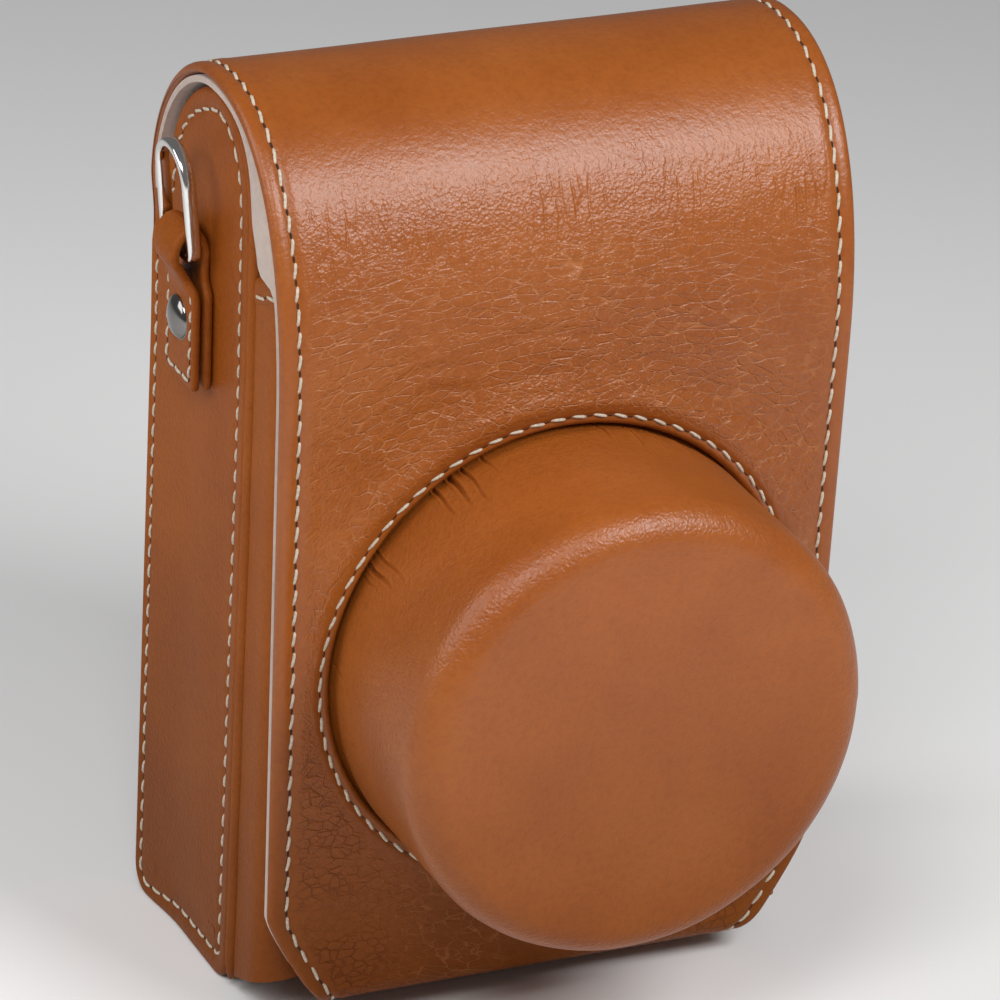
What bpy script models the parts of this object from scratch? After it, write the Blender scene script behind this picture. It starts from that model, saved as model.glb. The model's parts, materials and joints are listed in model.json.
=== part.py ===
"""Leather ever ready case for a compact camera, standing on its lower end.

X runs across the case, +Y towards its back and +Z up. The body is a shell of a back panel, two
gussets, a bottom and a front wall with a U-shaped lens slot. One cover runs up the back, over the
rounded top and down the front: it bends at the flap hinge, carries the moulded lens cup, and ends
in a tab that folds under the body. An oblong ring hangs in a leather loop on each gusset.
"""
import math

import bmesh
import bpy
from mathutils import Matrix, Vector

MM = 0.001

# Layers: leather, hidden stiffener and suede lining, with a gap between touching faces
GAP = 0.25 * MM
LEATHER = 1.3 * MM
INTERLINING = 0.6 * MM
LINING = 0.7 * MM
BOARD = 1.4 * MM
MAGNET = 1.1 * MM
HIDDEN_TRIM = 2.4 * MM       # how far an interlining stays inside the leather's turned edge
LINING_TRIM = 0.6 * MM

# Cover: its outer face seen from the side, as distances along Y and heights along Z
BACK_Y = 26.6 * MM
CROWN_Y = 4.0 * MM
FRONT_Y = -23.45 * MM
HEIGHT = 136.0 * MM
HINGE_Z = 112.0 * MM
ARCH_FRONT_Z = 95.0 * MM
BACK_POWER = 1.9
FRONT_POWER = 2.3
COVER_HALF = 42.8 * MM
WIDTH_Z = 94.0 * MM          # height at which the stated widths hold
WIDENING = 0.334             # growth of every width per metre above that height

# Fold under the front edge, and the tab that runs back from it
FOLD_RADIUS = 4.0 * MM
FOLD_Z = 7.3 * MM
FOLD_END = math.radians(77.5)
FOLD_SPLIT = math.radians(38.0)
SPLIT_GAP = 0.6 * MM
TAPER_START_Z = 18.8 * MM
TAPER_HALF = 34.0 * MM
TAPER_POWER = 1.2
TAB_LENGTH = 13.0 * MM
TAB_HALF = 31.0 * MM
TAB_ROUND = 5.0 * MM
TAB_RUN = (0.35, 0.62, 0.76, 0.87, 0.95, 1.0)

# Body shell
GUSSET_X = 41.46 * MM
GUSSET_FRONT_Y = -6.95 * MM
GUSSET_CROWN_Y = 6.0 * MM
GUSSET_CROWN_Z = 130.9 * MM
GUSSET_ARCH_Z = 116.0 * MM
GUSSET_POWER = 2.2
GUSSET_DROP = 3.5 * MM       # depth of the gusset's arched edge under the cover
GUSSET_CORNER = 3.6 * MM
LINING_CORNER = 0.6 * MM
PIPING_RADIUS = 1.0 * MM
PIPING_X = GUSSET_X - 0.76 * MM
PIPING_STOP_Y = GUSSET_CROWN_Y - 8.0 * MM
WALL_Y = -18.7 * MM
WALL_HALF = 41.2 * MM
WALL_REAR_Y = -9.5 * MM
WALL_TOP_Z = 105.3 * MM
WALL_CORNER = 4.0 * MM
BINDING_TOP_Z = 108.8 * MM
BOTTOM_Z = 4.6 * MM
CHIN_Y = -7.5 * MM
CHIN_TOP_Z = 8.9 * MM
CHIN_SHORT = 2.4 * MM        # the board and lining stop this far below the chin's top
PANEL_SHOULDER = 0.5 * MM
SLOT_HALF = 31.0 * MM
SLOT_CLEARANCE = 0.5 * MM

# Lens cup on the flap
CUP_Z = 55.25 * MM
CUP_RADIUS = 34.0 * MM
CUP_FRONT_Y = -53.0 * MM
CUP_EDGE = 5.0 * MM
CUP_FLANGE = 4.5 * MM
CUP_CORE = 0.8 * MM

# Strap hardware
TAB_Y = 9.6 * MM
STRAP_HALF = 5.3 * MM
STRAP_BOTTOM_Z = 88.2 * MM
STRAP_SHOULDER_Z = 103.0 * MM
STRAP_THICK = 3.0 * MM
LOOP_Z = 107.9 * MM
LOOP_RADIUS = 2.8 * MM
LOOP_BORE = 1.6 * MM
LOOP_HALF = 3.9 * MM
RING_INNER_HALF = 4.3 * MM
RING_THICK = 1.3 * MM
RING_WIDTH = 1.9 * MM
RING_RISE = 16.4 * MM
RING_FOOT = 1.0 * MM
RING_SOFTEN = 0.3 * MM
RING_LEAN = math.radians(6.0)
RIVET_Z = 97.7 * MM
RIVET_RADIUS = 3.3 * MM
RIVET_DOME = 1.4 * MM
RIVET_RIM = 0.3 * MM
POST_RADIUS = 1.2 * MM
POST_END = 0.1 * MM
BURR_RADIUS = 2.8 * MM
BURR_THICK = 0.5 * MM
BURR_GAP = 0.2 * MM
MAGNET_RADIUS = 4.0 * MM
MAGNET_PLACE = 0.42          # share of the tab's length
PUNCH = 12.0 * MM            # length of the cutters that pierce a layer

# The origin lies under the middle of the closed case, from cup face to back panel
SHIFT_Y = -(BACK_Y + CUP_FRONT_Y) / 2

TAN = (0.56, 0.25, 0.09, 1.0)
SUEDE = (0.52, 0.44, 0.36, 1.0)
BOARD_GREY = (0.20, 0.18, 0.16, 1.0)
NICKEL = (0.80, 0.79, 0.77, 1.0)
STEEL = (0.45, 0.45, 0.46, 1.0)

for old in list(bpy.data.objects):
    bpy.data.objects.remove(old, do_unlink=True)

parts = bpy.data.collections.new("leather_ever_ready_case")
cutters = bpy.data.collections.new("cutters")
bpy.context.scene.collection.children.link(parts)
bpy.context.scene.collection.children.link(cutters)

body_frame = bpy.data.objects.new("case_origin", None)
body_frame.location = (0.0, SHIFT_Y, 0.0)
parts.objects.link(body_frame)


# ---------------------------------------------------------------- helpers

def material(name, colour, roughness, metallic=0.0):
    """A Principled material, one for each sub-part."""
    made = bpy.data.materials.new(name)
    made.use_nodes = True
    shader = made.node_tree.nodes["Principled BSDF"]
    shader.inputs["Base Color"].default_value = colour
    shader.inputs["Roughness"].default_value = roughness
    shader.inputs["Metallic"].default_value = metallic
    made.diffuse_color = colour
    return made


def finish(name, mesh, kind, parent=None, smooth=True):
    """Link a mesh as a named sub-part under its parent frame."""
    colour, roughness, metallic = {
        "leather": (TAN, 0.45, 0.0),
        "suede": (SUEDE, 0.95, 0.0),
        "board": (BOARD_GREY, 0.9, 0.0),
        "nickel": (NICKEL, 0.15, 1.0),
        "steel": (STEEL, 0.35, 1.0),
    }[kind]
    mesh.materials.clear()
    mesh.materials.append(material(name, colour, roughness, metallic))
    if smooth:
        mesh.shade_smooth()
        mesh.set_sharp_from_angle(angle=math.radians(35))
    made = bpy.data.objects.new(name, mesh)
    made.parent = parent or body_frame
    parts.objects.link(made)
    return made


def widened(x, z):
    """A width at height z: the case is slightly wider at its top."""
    return x * (1.0 + WIDENING * (z - WIDTH_Z))


def widen(mesh):
    """Lean every leather face outwards with height, as widened() does."""
    for vertex in mesh.vertices:
        vertex.co.x = widened(vertex.co.x, vertex.co.z)


def solidify(made, thickness):
    """Thicken a surface inwards, the way its normals point."""
    modifier = made.modifiers.new("thickness", "SOLIDIFY")
    modifier.thickness = thickness
    modifier.offset = 1.0


def cut(made, cutter):
    """Subtract a cutter from a sub-part."""
    modifier = made.modifiers.new("cut", "BOOLEAN")
    modifier.operation = "DIFFERENCE"
    modifier.solver = "EXACT"
    modifier.object = cutter


def cutter_object(name, mesh):
    """Link a mesh as a hidden cutter in the body frame."""
    made = bpy.data.objects.new(name, mesh)
    made.parent = body_frame
    made.hide_render = True
    made.display_type = "WIRE"
    cutters.objects.link(made)
    return made


def cylinder_cutter(name, radius, depth, centre, direction, segments=64):
    """A cylinder centred on a point, with its axis along a direction."""
    form = bmesh.new()
    turn = Vector((0, 0, 1)).rotation_difference(Vector(direction)).to_matrix().to_4x4()
    bmesh.ops.create_cone(form, cap_ends=True, segments=segments, radius1=radius, radius2=radius,
                          depth=depth, matrix=Matrix.Translation(centre) @ turn)
    mesh = bpy.data.meshes.new(name)
    form.to_mesh(mesh)
    form.free()
    return cutter_object(name, mesh)


def box_cutter(name, low, high):
    """A box between two corners."""
    form = bmesh.new()
    size = [b - a for a, b in zip(low, high)]
    middle = [(a + b) / 2 for a, b in zip(low, high)]
    bmesh.ops.create_cube(form, size=1.0,
                          matrix=Matrix.Translation(middle) @ Matrix.Diagonal((*size, 1.0)))
    mesh = bpy.data.meshes.new(name)
    form.to_mesh(mesh)
    form.free()
    return cutter_object(name, mesh)


def outline_mesh(name, outlines, thickness, to_frame, rounding=0.0):
    """Flat outlines, holes included, thickened about their plane and placed by a matrix."""
    curve = bpy.data.curves.new(name, "CURVE")
    curve.dimensions = "2D"
    curve.fill_mode = "BOTH"
    curve.extrude = thickness / 2 - rounding
    curve.bevel_depth = rounding
    curve.bevel_resolution = 1
    curve.offset = -rounding
    for points in outlines:
        spline = curve.splines.new("POLY")
        spline.points.add(len(points) - 1)
        for point, (across, up) in zip(spline.points, points):
            point.co = (across, up, 0.0, 1.0)
        spline.use_cyclic_u = True
    drawn = bpy.data.objects.new(name, curve)
    parts.objects.link(drawn)
    view = bpy.context.evaluated_depsgraph_get()
    mesh = bpy.data.meshes.new_from_object(drawn.evaluated_get(view))
    bpy.data.objects.remove(drawn)
    bpy.data.curves.remove(curve)
    form = bmesh.new()
    form.from_mesh(mesh)
    bmesh.ops.remove_doubles(form, verts=form.verts, dist=0.000002)
    bmesh.ops.transform(form, verts=form.verts, matrix=to_frame)
    bmesh.ops.recalc_face_normals(form, faces=form.faces)
    form.to_mesh(mesh)
    form.free()
    return mesh


def side_plane(x):
    """Places an outline drawn in (y, z) on the plane at x."""
    return Matrix(((0, 0, 1, x), (1, 0, 0, 0), (0, 1, 0, 0), (0, 0, 0, 1)))


def plan_plane(z):
    """Places an outline drawn in (x, y) on the level z."""
    return Matrix.Translation((0, 0, z))


def turned(name, profile, centre, direction, kind, steps, parent=None):
    """A body turned from (radius, height) points about an axis through centre."""
    form = bmesh.new()
    corners = [form.verts.new((radius, 0.0, height)) for radius, height in profile]
    for first, second in zip(corners, corners[1:]):
        form.edges.new((first, second))
    closed = profile[0][0] > 0.0
    if closed:
        form.edges.new((corners[-1], corners[0]))
    mesh = bpy.data.meshes.new(name)
    form.to_mesh(mesh)
    form.free()
    made = finish(name, mesh, kind, parent, smooth=False)
    screw = made.modifiers.new("turn", "SCREW")
    screw.steps = steps
    screw.render_steps = steps
    screw.use_merge_vertices = True
    screw.merge_threshold = 0.00001
    screw.use_smooth_shade = True
    made.location = centre
    made.rotation_mode = "QUATERNION"
    made.rotation_quaternion = Vector((0, 0, 1)).rotation_difference(Vector(direction))
    return made


def disc(radius, thickness):
    """Half section of a plain disc in (radius, height)."""
    return [(0.0, thickness), (radius, thickness), (radius, 0.0), (0.0, 0.0)]


def arc(centre, radius, start, end, count):
    """Points on a circle between two angles in degrees."""
    angles = [math.radians(start + (end - start) * i / count) for i in range(count + 1)]
    return [(centre[0] + radius * math.cos(a), centre[1] + radius * math.sin(a)) for a in angles]


def inset(path, depth):
    """Shift a (y, z) path to the right of its direction of travel by a depth."""
    shifted = []
    for i, (y, z) in enumerate(path):
        before = path[max(i - 1, 0)]
        after = path[min(i + 1, len(path) - 1)]
        along = Vector((after[0] - before[0], after[1] - before[1])).normalized()
        shifted.append((y - along.y * depth, z + along.x * depth))
    return shifted


def sheet(name, rows, half_width, thickness, kind):
    """A layer of the shell: its rows in (y, z), each swept across X to its own half width."""
    form = bmesh.new()
    bmesh.ops.create_grid(form, x_segments=2, y_segments=len(rows) - 1, size=1.0)
    for vertex in form.verts:
        row = round((vertex.co.y + 1.0) / 2.0 * (len(rows) - 1))
        y, z = rows[row]
        vertex.co = (widened(vertex.co.x * half_width[row], z), y, z)
    mesh = bpy.data.meshes.new(name)
    form.to_mesh(mesh)
    form.free()
    made = finish(name, mesh, kind)
    solidify(made, thickness)
    return made


# ---------------------------------------------------------------- the cover's side profile

def cover_arch(steps=14):
    """From the flap hinge over the crown to the straight front: two flattened quarter turns."""
    path = []
    for i in range(steps):
        turn = math.pi / 2 * i / steps
        across = math.cos(turn) ** (2 / BACK_POWER)
        rise = math.sin(turn) ** (2 / BACK_POWER)
        path.append((CROWN_Y + (BACK_Y - CROWN_Y) * across, HINGE_Z + (HEIGHT - HINGE_Z) * rise))
    for i in range(steps + 1):
        turn = math.pi / 2 * i / steps
        across = math.sin(turn) ** (2 / FRONT_POWER)
        rise = math.cos(turn) ** (2 / FRONT_POWER)
        path.append((CROWN_Y + (FRONT_Y - CROWN_Y) * across,
                     ARCH_FRONT_Z + (HEIGHT - ARCH_FRONT_Z) * rise))
    return path


def fold_point(turn, depth=0.0):
    """A point on the fold, from the vertical front (0) towards the tab, at a depth inside it."""
    radius = FOLD_RADIUS - depth
    return (FRONT_Y + FOLD_RADIUS - radius * math.cos(turn), FOLD_Z - radius * math.sin(turn))


def taper_half(z):
    """Half width of the flap's lower end: straight, then cut in towards the tab on a soft corner."""
    fall = (TAPER_START_Z - z) / (TAPER_START_Z - FOLD_Z + FOLD_RADIUS)
    if fall <= 0.0:
        return COVER_HALF
    return COVER_HALF - (COVER_HALF - TAPER_HALF) * min(fall, 1.0) ** TAPER_POWER


def flap_path(depth):
    """A flap layer's outer face from the hinge to the split in the fold."""
    path = cover_arch()
    path[0] = (BACK_Y, HINGE_Z + 2 * GAP)
    path.insert(0, (BACK_Y, HINGE_Z + GAP / 2))
    path = inset(path, depth)
    straight = [75.0, 50.0, 35.0, 25.0, 18.8, 16.4, 14.0, 12.0, 10.0, 8.5]
    path += [(FRONT_Y + depth, z * MM) for z in straight]
    trimmed = FOLD_SPLIT - SPLIT_GAP / 2 / FOLD_RADIUS
    return path + [fold_point(trimmed * t, depth) for t in (0.0, 0.33, 0.66, 0.97, 1.0)]


def tab_path(depth):
    """A tab layer's outer face from the split in the fold to its free end."""
    start = FOLD_SPLIT + SPLIT_GAP / 2 / FOLD_RADIUS
    bend = [start + (FOLD_END - start) * t for t in (0.0, 0.03, 0.35, 0.7, 1.0)]
    path = [fold_point(turn, depth) for turn in bend]
    root = path[-1]
    slope = (math.sin(FOLD_END), -math.cos(FOLD_END))
    return path + [(root[0] + slope[0] * TAB_LENGTH * t, root[1] + slope[1] * TAB_LENGTH * t)
                   for t in TAB_RUN]


def flap_halves():
    """The flap's half width at each point of its path."""
    return [taper_half(z) for y, z in flap_path(0.0)]


def tab_halves():
    """The tab's half width at each point of its path, with rounded corners at its end."""
    root_rows = len(tab_path(0.0)) - len(TAB_RUN)
    halves = [taper_half(z) for y, z in tab_path(0.0)[:root_rows]]
    root = halves[-1]
    for t in TAB_RUN:
        left = max(0.0, TAB_ROUND - (1.0 - t) * TAB_LENGTH)
        rounding = TAB_ROUND - math.sqrt(max(TAB_ROUND ** 2 - left ** 2, 0.0))
        halves.append(root + (TAB_HALF - root) * t - rounding)
    return halves


# ---------------------------------------------------------------- body shell

LINING_DEPTH = LEATHER + GAP + INTERLINING + GAP
BOARD_DEPTH = LEATHER + GAP
BACK_LINING_DEPTH = BOARD_DEPTH + BOARD + GAP
INSIDE_BACK_Y = BACK_Y - BACK_LINING_DEPTH - LINING
BETWEEN_HALF = GUSSET_X - LEATHER - GAP


def upright(bottom, top):
    """A straight path up the back panel's outer face."""
    return [(BACK_Y, bottom), (BACK_Y, top)]


def make_back():
    """Back panel of leather, its board and its suede lining."""
    top = HINGE_Z - GAP / 2
    floor = BOTTOM_Z + LEATHER + GAP
    sheet("back_panel", upright(0.0, top), [COVER_HALF] * 2, LEATHER, "leather")
    sheet("back_board", inset(upright(floor, top), BOARD_DEPTH), [BETWEEN_HALF] * 2, BOARD,
          "board")
    sheet("back_lining", inset(upright(floor, top), BACK_LINING_DEPTH), [BETWEEN_HALF] * 2, LINING,
          "suede")


def bottom_path(rear_y):
    """The underside, forwards from the back panel and up the sloping chin to the front wall."""
    return [(WALL_Y, CHIN_TOP_Z), (CHIN_Y, BOTTOM_Z), (rear_y, BOTTOM_Z)]


def chin_slope():
    """Unit direction up the chin, towards the front."""
    return Vector((WALL_Y - CHIN_Y, CHIN_TOP_Z - BOTTOM_Z)).normalized()


def make_bottom():
    """Bottom panel with its chin, the board and magnet on it, and the suede floor."""
    panel_rear = BACK_Y - LEATHER - GAP
    rear = BACK_Y - BACK_LINING_DEPTH - LINING - GAP
    along = chin_slope()
    path = bottom_path(panel_rear)
    fall = (BOTTOM_Z - CHIN_TOP_Z) / (CHIN_Y - WALL_Y)
    for shoulder_y in (WALL_REAR_Y, WALL_REAR_Y - PANEL_SHOULDER):
        path.insert(1, (shoulder_y, CHIN_TOP_Z + fall * (shoulder_y - WALL_Y)))
    narrow = PIPING_X - PIPING_RADIUS - GAP
    sheet("bottom_panel", path, [WALL_HALF, WALL_HALF, narrow, narrow, narrow], LEATHER,
          "leather")
    inner = WALL_HALF - LEATHER - GAP
    inner_path = bottom_path(rear)
    inner_path[0] = (WALL_Y - along.x * CHIN_SHORT, CHIN_TOP_Z - along.y * CHIN_SHORT)
    board = sheet("bottom_board", inset(inner_path, BOARD_DEPTH), [inner] * 3, BOARD, "board")
    sheet("bottom_lining", inset(inner_path, BACK_LINING_DEPTH), [inner] * 3, LINING, "suede")
    middle = Vector(((WALL_Y + CHIN_Y) / 2, (CHIN_TOP_Z + BOTTOM_Z) / 2))
    upwards = Vector((0.0, along.y, -along.x))
    low = Vector((0.0, middle.x, middle.y)) + upwards * BOARD_DEPTH
    cut(board, cylinder_cutter("bottom_magnet_seat", MAGNET_RADIUS + GAP, 3 * BOARD,
                               low + upwards * BOARD / 2, upwards, 40))
    turned("bottom_magnet", disc(MAGNET_RADIUS, MAGNET), low + upwards * (BOARD - MAGNET) / 2,
           upwards, "steel", 32)


def gusset_arch(steps=12):
    """The gusset's rounded top, from its back edge at the hinge to its straight front edge."""
    cover = [p for p in cover_arch() if p[0] >= GUSSET_CROWN_Y]
    path = inset(cover, GUSSET_DROP)
    reach = GUSSET_CROWN_Y - GUSSET_FRONT_Y
    rise = path[-1][1] - GUSSET_ARCH_Z
    for i in range(1, steps + 1):
        turn = math.pi / 2 * i / steps
        path.append((GUSSET_CROWN_Y - reach * math.sin(turn) ** (2 / GUSSET_POWER),
                     GUSSET_ARCH_Z + rise * math.cos(turn) ** (2 / GUSSET_POWER)))
    return path


def gusset_outline(back_y, front_y, bottom_z, corner):
    """A gusset in (y, z): rounded lower corners, straight edges and the arched top."""
    rise = gusset_arch()
    outline = arc((front_y + corner, bottom_z + corner), corner, 180, 270, 6)
    outline += arc((back_y - corner, bottom_z + corner), corner, 270, 360, 6)
    outline += [(back_y, HINGE_Z - 5 * GAP), (min(back_y, rise[0][0]), HINGE_Z - 2 * GAP)]
    return outline + [p for p in rise if p[0] < back_y - GAP / 2]


def make_gusset(side, hand):
    """One gusset of leather, its suede lining, and the piping along its front edge."""
    outline = gusset_outline(BACK_Y - LEATHER - GAP, GUSSET_FRONT_Y, 0.0, GUSSET_CORNER)
    mesh = outline_mesh(hand + "_gusset", [outline], LEATHER,
                        side_plane(side * (GUSSET_X - LEATHER / 2)))
    widen(mesh)
    panel = finish(hand + "_gusset", mesh, "leather")

    floor = BOTTOM_Z + BACK_LINING_DEPTH + LINING + GAP
    outline = gusset_outline(INSIDE_BACK_Y - GAP, GUSSET_FRONT_Y, floor, LINING_CORNER)
    mesh = outline_mesh(hand + "_gusset_lining", [outline], LINING,
                        side_plane(side * (BETWEEN_HALF - LINING / 2)))
    widen(mesh)
    lining = finish(hand + "_gusset_lining", mesh, "suede")

    post_x = side * widened(GUSSET_X, RIVET_Z)
    cut(panel, cylinder_cutter(hand + "_post_hole", POST_RADIUS + GAP, PUNCH,
                               (post_x, TAB_Y, RIVET_Z), (1, 0, 0), 24))
    lining_x = side * widened(BETWEEN_HALF, RIVET_Z)
    cut(lining, cylinder_cutter(hand + "_burr_hole", BURR_RADIUS + GAP, 4 * LINING,
                                (lining_x, TAB_Y, RIVET_Z), (1, 0, 0), 24))
    make_piping(side, hand)


def make_piping(side, hand):
    """Rolled bead along a gusset's front edge, from its foot up round the arch."""
    route = arc((GUSSET_FRONT_Y + GUSSET_CORNER, GUSSET_CORNER), GUSSET_CORNER, 208, 180, 3)
    route += [(GUSSET_FRONT_Y, GUSSET_ARCH_Z * t) for t in (0.3, 0.6, 0.9)]
    route += [p for p in reversed(gusset_arch()) if p[0] < PIPING_STOP_Y]
    curve = bpy.data.curves.new(hand + "_piping", "CURVE")
    curve.dimensions = "3D"
    curve.bevel_depth = PIPING_RADIUS
    curve.bevel_resolution = 2
    curve.use_fill_caps = True
    spline = curve.splines.new("POLY")
    spline.points.add(len(route) - 1)
    for point, (y, z) in zip(spline.points, inset(route, PIPING_RADIUS + GAP)):
        point.co = (side * widened(PIPING_X, z), y, z, 1.0)
    curve.materials.append(material(hand + "_piping", TAN, 0.45))
    piping = bpy.data.objects.new(hand + "_piping", curve)
    piping.parent = body_frame
    parts.objects.link(piping)


def wall_band(depth, thickness, rear_y=WALL_REAR_Y):
    """The front wall seen from above: a band round the front and both side returns."""
    def turn(inside, backwards):
        half = WALL_HALF - inside
        front = WALL_Y + inside
        radius = WALL_CORNER - inside
        left = arc((-half + radius, front + radius), radius, 180, 270, 6)
        right = arc((half - radius, front + radius), radius, 270, 360, 6)
        path = [(-half, rear_y)] + left + right + [(half, rear_y)]
        return path[::-1] if backwards else path
    return turn(depth, False) + turn(depth + thickness, True)


def chin_wedge(name, depth):
    """Cutter that clears everything below the chin and bottom, raised by a depth."""
    path = inset(bottom_path(BACK_Y), depth)
    along = chin_slope()
    front = (path[0][0] + along.x * PUNCH, path[0][1] + along.y * PUNCH)
    outline = [front] + path[1:] + [(BACK_Y, -PUNCH), (front[0], -PUNCH)]
    return cutter_object(name, outline_mesh(name, [outline], 3 * COVER_HALF, side_plane(0.0)))


def make_front_wall():
    """Front wall with its side returns and the U-shaped lens slot, and its suede lining."""
    layers = (("front_wall", 0.0, LEATHER, LEATHER + GAP, SLOT_HALF, "leather"),
              ("front_wall_lining", LEATHER + GAP, LINING, BACK_LINING_DEPTH + LINING + GAP,
               SLOT_HALF + SLOT_CLEARANCE, "suede"))
    for name, depth, thickness, clearance, slot, kind in layers:
        band = wall_band(depth, thickness)
        mesh = outline_mesh(name, [band], WALL_TOP_Z, plan_plane(WALL_TOP_Z / 2))
        widen(mesh)
        wall = finish(name, mesh, kind)
        cut(wall, chin_wedge(name + "_chin", clearance))
        centre = (0, WALL_Y, CUP_Z)
        cut(wall, cylinder_cutter(name + "_slot_round", slot, PUNCH, centre, (0, 1, 0)))
        cut(wall, box_cutter(name + "_slot_straight", (-slot, WALL_Y - PUNCH / 2, CUP_Z),
                             (slot, WALL_Y + PUNCH / 2, WALL_TOP_Z + PUNCH)))


def make_binding(side, hand):
    """Folded leather strip over the wall's top edge, from the slot round to the gusset."""
    thick = LEATHER + GAP + LINING
    start = SLOT_HALF + SLOT_CLEARANCE
    corner = (WALL_HALF - WALL_CORNER, WALL_Y + WALL_CORNER)
    outer = [(start, WALL_Y)] + arc(corner, WALL_CORNER, 270, 360, 6) + [(WALL_HALF, WALL_REAR_Y)]
    inner = [(WALL_HALF - thick, WALL_REAR_Y)] + arc(corner, WALL_CORNER - thick, 360, 270, 6)
    inner += [(start, WALL_Y + thick)]
    outline = [(side * x, y) for x, y in outer + inner]
    low = WALL_TOP_Z + GAP
    mesh = outline_mesh(hand + "_wall_binding", [outline], BINDING_TOP_Z - low,
                        plan_plane((BINDING_TOP_Z + low) / 2))
    widen(mesh)
    finish(hand + "_wall_binding", mesh, "leather")


# ---------------------------------------------------------------- cover flap, cup and closure tab

def make_flap(pivot):
    """Flap of leather, interlining and suede, each with its hole for the lens cup."""
    layers = (("flap_leather", 0.0, LEATHER, 0.0, CUP_RADIUS + GAP, "leather"),
              ("flap_interlining", LEATHER + GAP, INTERLINING, HIDDEN_TRIM,
               CUP_RADIUS + CUP_FLANGE + GAP, "board"),
              ("flap_lining", LINING_DEPTH, LINING, LINING_TRIM,
               CUP_RADIUS - LEATHER - CUP_CORE - GAP, "suede"))
    for name, depth, thickness, trim, hole, kind in layers:
        halves = [half - trim for half in flap_halves()]
        layer = sheet(name, flap_path(depth), halves, thickness, kind)
        centre = (0, FRONT_Y, CUP_Z)
        cut(layer, cylinder_cutter(name + "_hole", hole, PUNCH, centre, (0, 1, 0), 96))
        hang(layer, pivot)


def cup_profile(outer, thickness, front, rear, edge, flange=0.0, flange_thick=0.0):
    """Half section of a cup in (radius, height): rounded rim outside, open at the rear."""
    profile = [(0.0, front)] + arc((outer - edge, front - edge), edge, 90, 0, 5)
    if flange:
        profile += [(outer, rear + flange_thick), (outer + flange, rear + flange_thick),
                    (outer + flange, rear)]
    else:
        profile += [(outer, rear)]
    inner = outer - thickness
    profile += [(inner, rear)]
    profile += arc((outer - edge, front - edge), edge - thickness, 0, 90, 5)
    return profile + [(0.0, front - thickness)]


def make_cup(pivot):
    """Moulded leather cup with a flange behind the flap's leather, its stiff core and its lining."""
    centre = Vector((0.0, 0.0, CUP_Z))
    front = -CUP_FRONT_Y
    flange_rear = -FRONT_Y - LEATHER - GAP - INTERLINING
    lining_rear = -FRONT_Y - LINING_DEPTH - LINING
    core = LEATHER + GAP
    lining = core + CUP_CORE + GAP
    layers = (("cup_leather", 0.0, LEATHER, flange_rear, CUP_FLANGE, "leather"),
              ("cup_core", core, CUP_CORE, flange_rear, 0.0, "board"),
              ("cup_lining", lining, LINING, lining_rear, 0.0, "suede"))
    for name, depth, thickness, rear, flange, kind in layers:
        profile = cup_profile(CUP_RADIUS - depth, thickness, front - depth, rear, CUP_EDGE - depth,
                              flange, INTERLINING)
        hang(turned(name, profile, centre, (0, -1, 0), kind, 60), pivot)


def make_closure_tab(pivot):
    """Tab that folds under the body: leather, interlining with its magnet, and suede."""
    slope = Vector((0.0, math.sin(FOLD_END), -math.cos(FOLD_END)))
    upwards = Vector((0.0, -slope.z, slope.y))
    root = Vector((0.0, *fold_point(FOLD_END)))
    seat = root + slope * TAB_LENGTH * MAGNET_PLACE + upwards * (LEATHER + GAP)
    layers = (("closure_tab", 0.0, LEATHER, 0.0, "leather"),
              ("closure_tab_interlining", LEATHER + GAP, INTERLINING, HIDDEN_TRIM, "board"),
              ("closure_tab_lining", LINING_DEPTH, LINING, LINING_TRIM, "suede"))
    for name, depth, thickness, trim, kind in layers:
        halves = [half - trim for half in tab_halves()]
        layer = sheet(name, tab_path(depth), halves, thickness, kind)
        if kind == "board":
            cut(layer, cylinder_cutter("tab_magnet_seat", MAGNET_RADIUS + GAP, PUNCH / 2, seat,
                                       upwards, 40))
        hang(layer, pivot)
    hang(turned("closure_tab_magnet", disc(MAGNET_RADIUS, INTERLINING), seat, upwards, "steel", 32),
         pivot)


def pivot_empty(name, place, parent=None):
    """An empty on a joint's axis, under the body frame or another pivot."""
    made = bpy.data.objects.new(name, None)
    made.parent = parent or body_frame
    made.location = Vector(place) - (parent.location if parent else Vector())
    parts.objects.link(made)
    return made


def hang(made, pivot):
    """Parent a sub-part to a pivot, keeping its place in the body frame."""
    origin = pivot.location.copy()
    if pivot.parent is not body_frame:
        origin += pivot.parent.location
    made.parent = pivot
    made.location = made.location - origin


# ---------------------------------------------------------------- strap hardware

def strap_outline():
    """A strap tab's edge in (distance out from the gusset, height), with its loop at the top."""
    loop = (LOOP_RADIUS, LOOP_Z)
    meet = math.degrees(math.asin((STRAP_THICK - LOOP_RADIUS) / LOOP_RADIUS))
    outline = [(0.0, STRAP_BOTTOM_Z)]
    outline += arc(loop, LOOP_RADIUS, 180, -90 + meet, 16)
    outline += [(STRAP_THICK, STRAP_BOTTOM_Z)]
    return outline, arc(loop, LOOP_BORE, 0, 337.5, 15)


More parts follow.
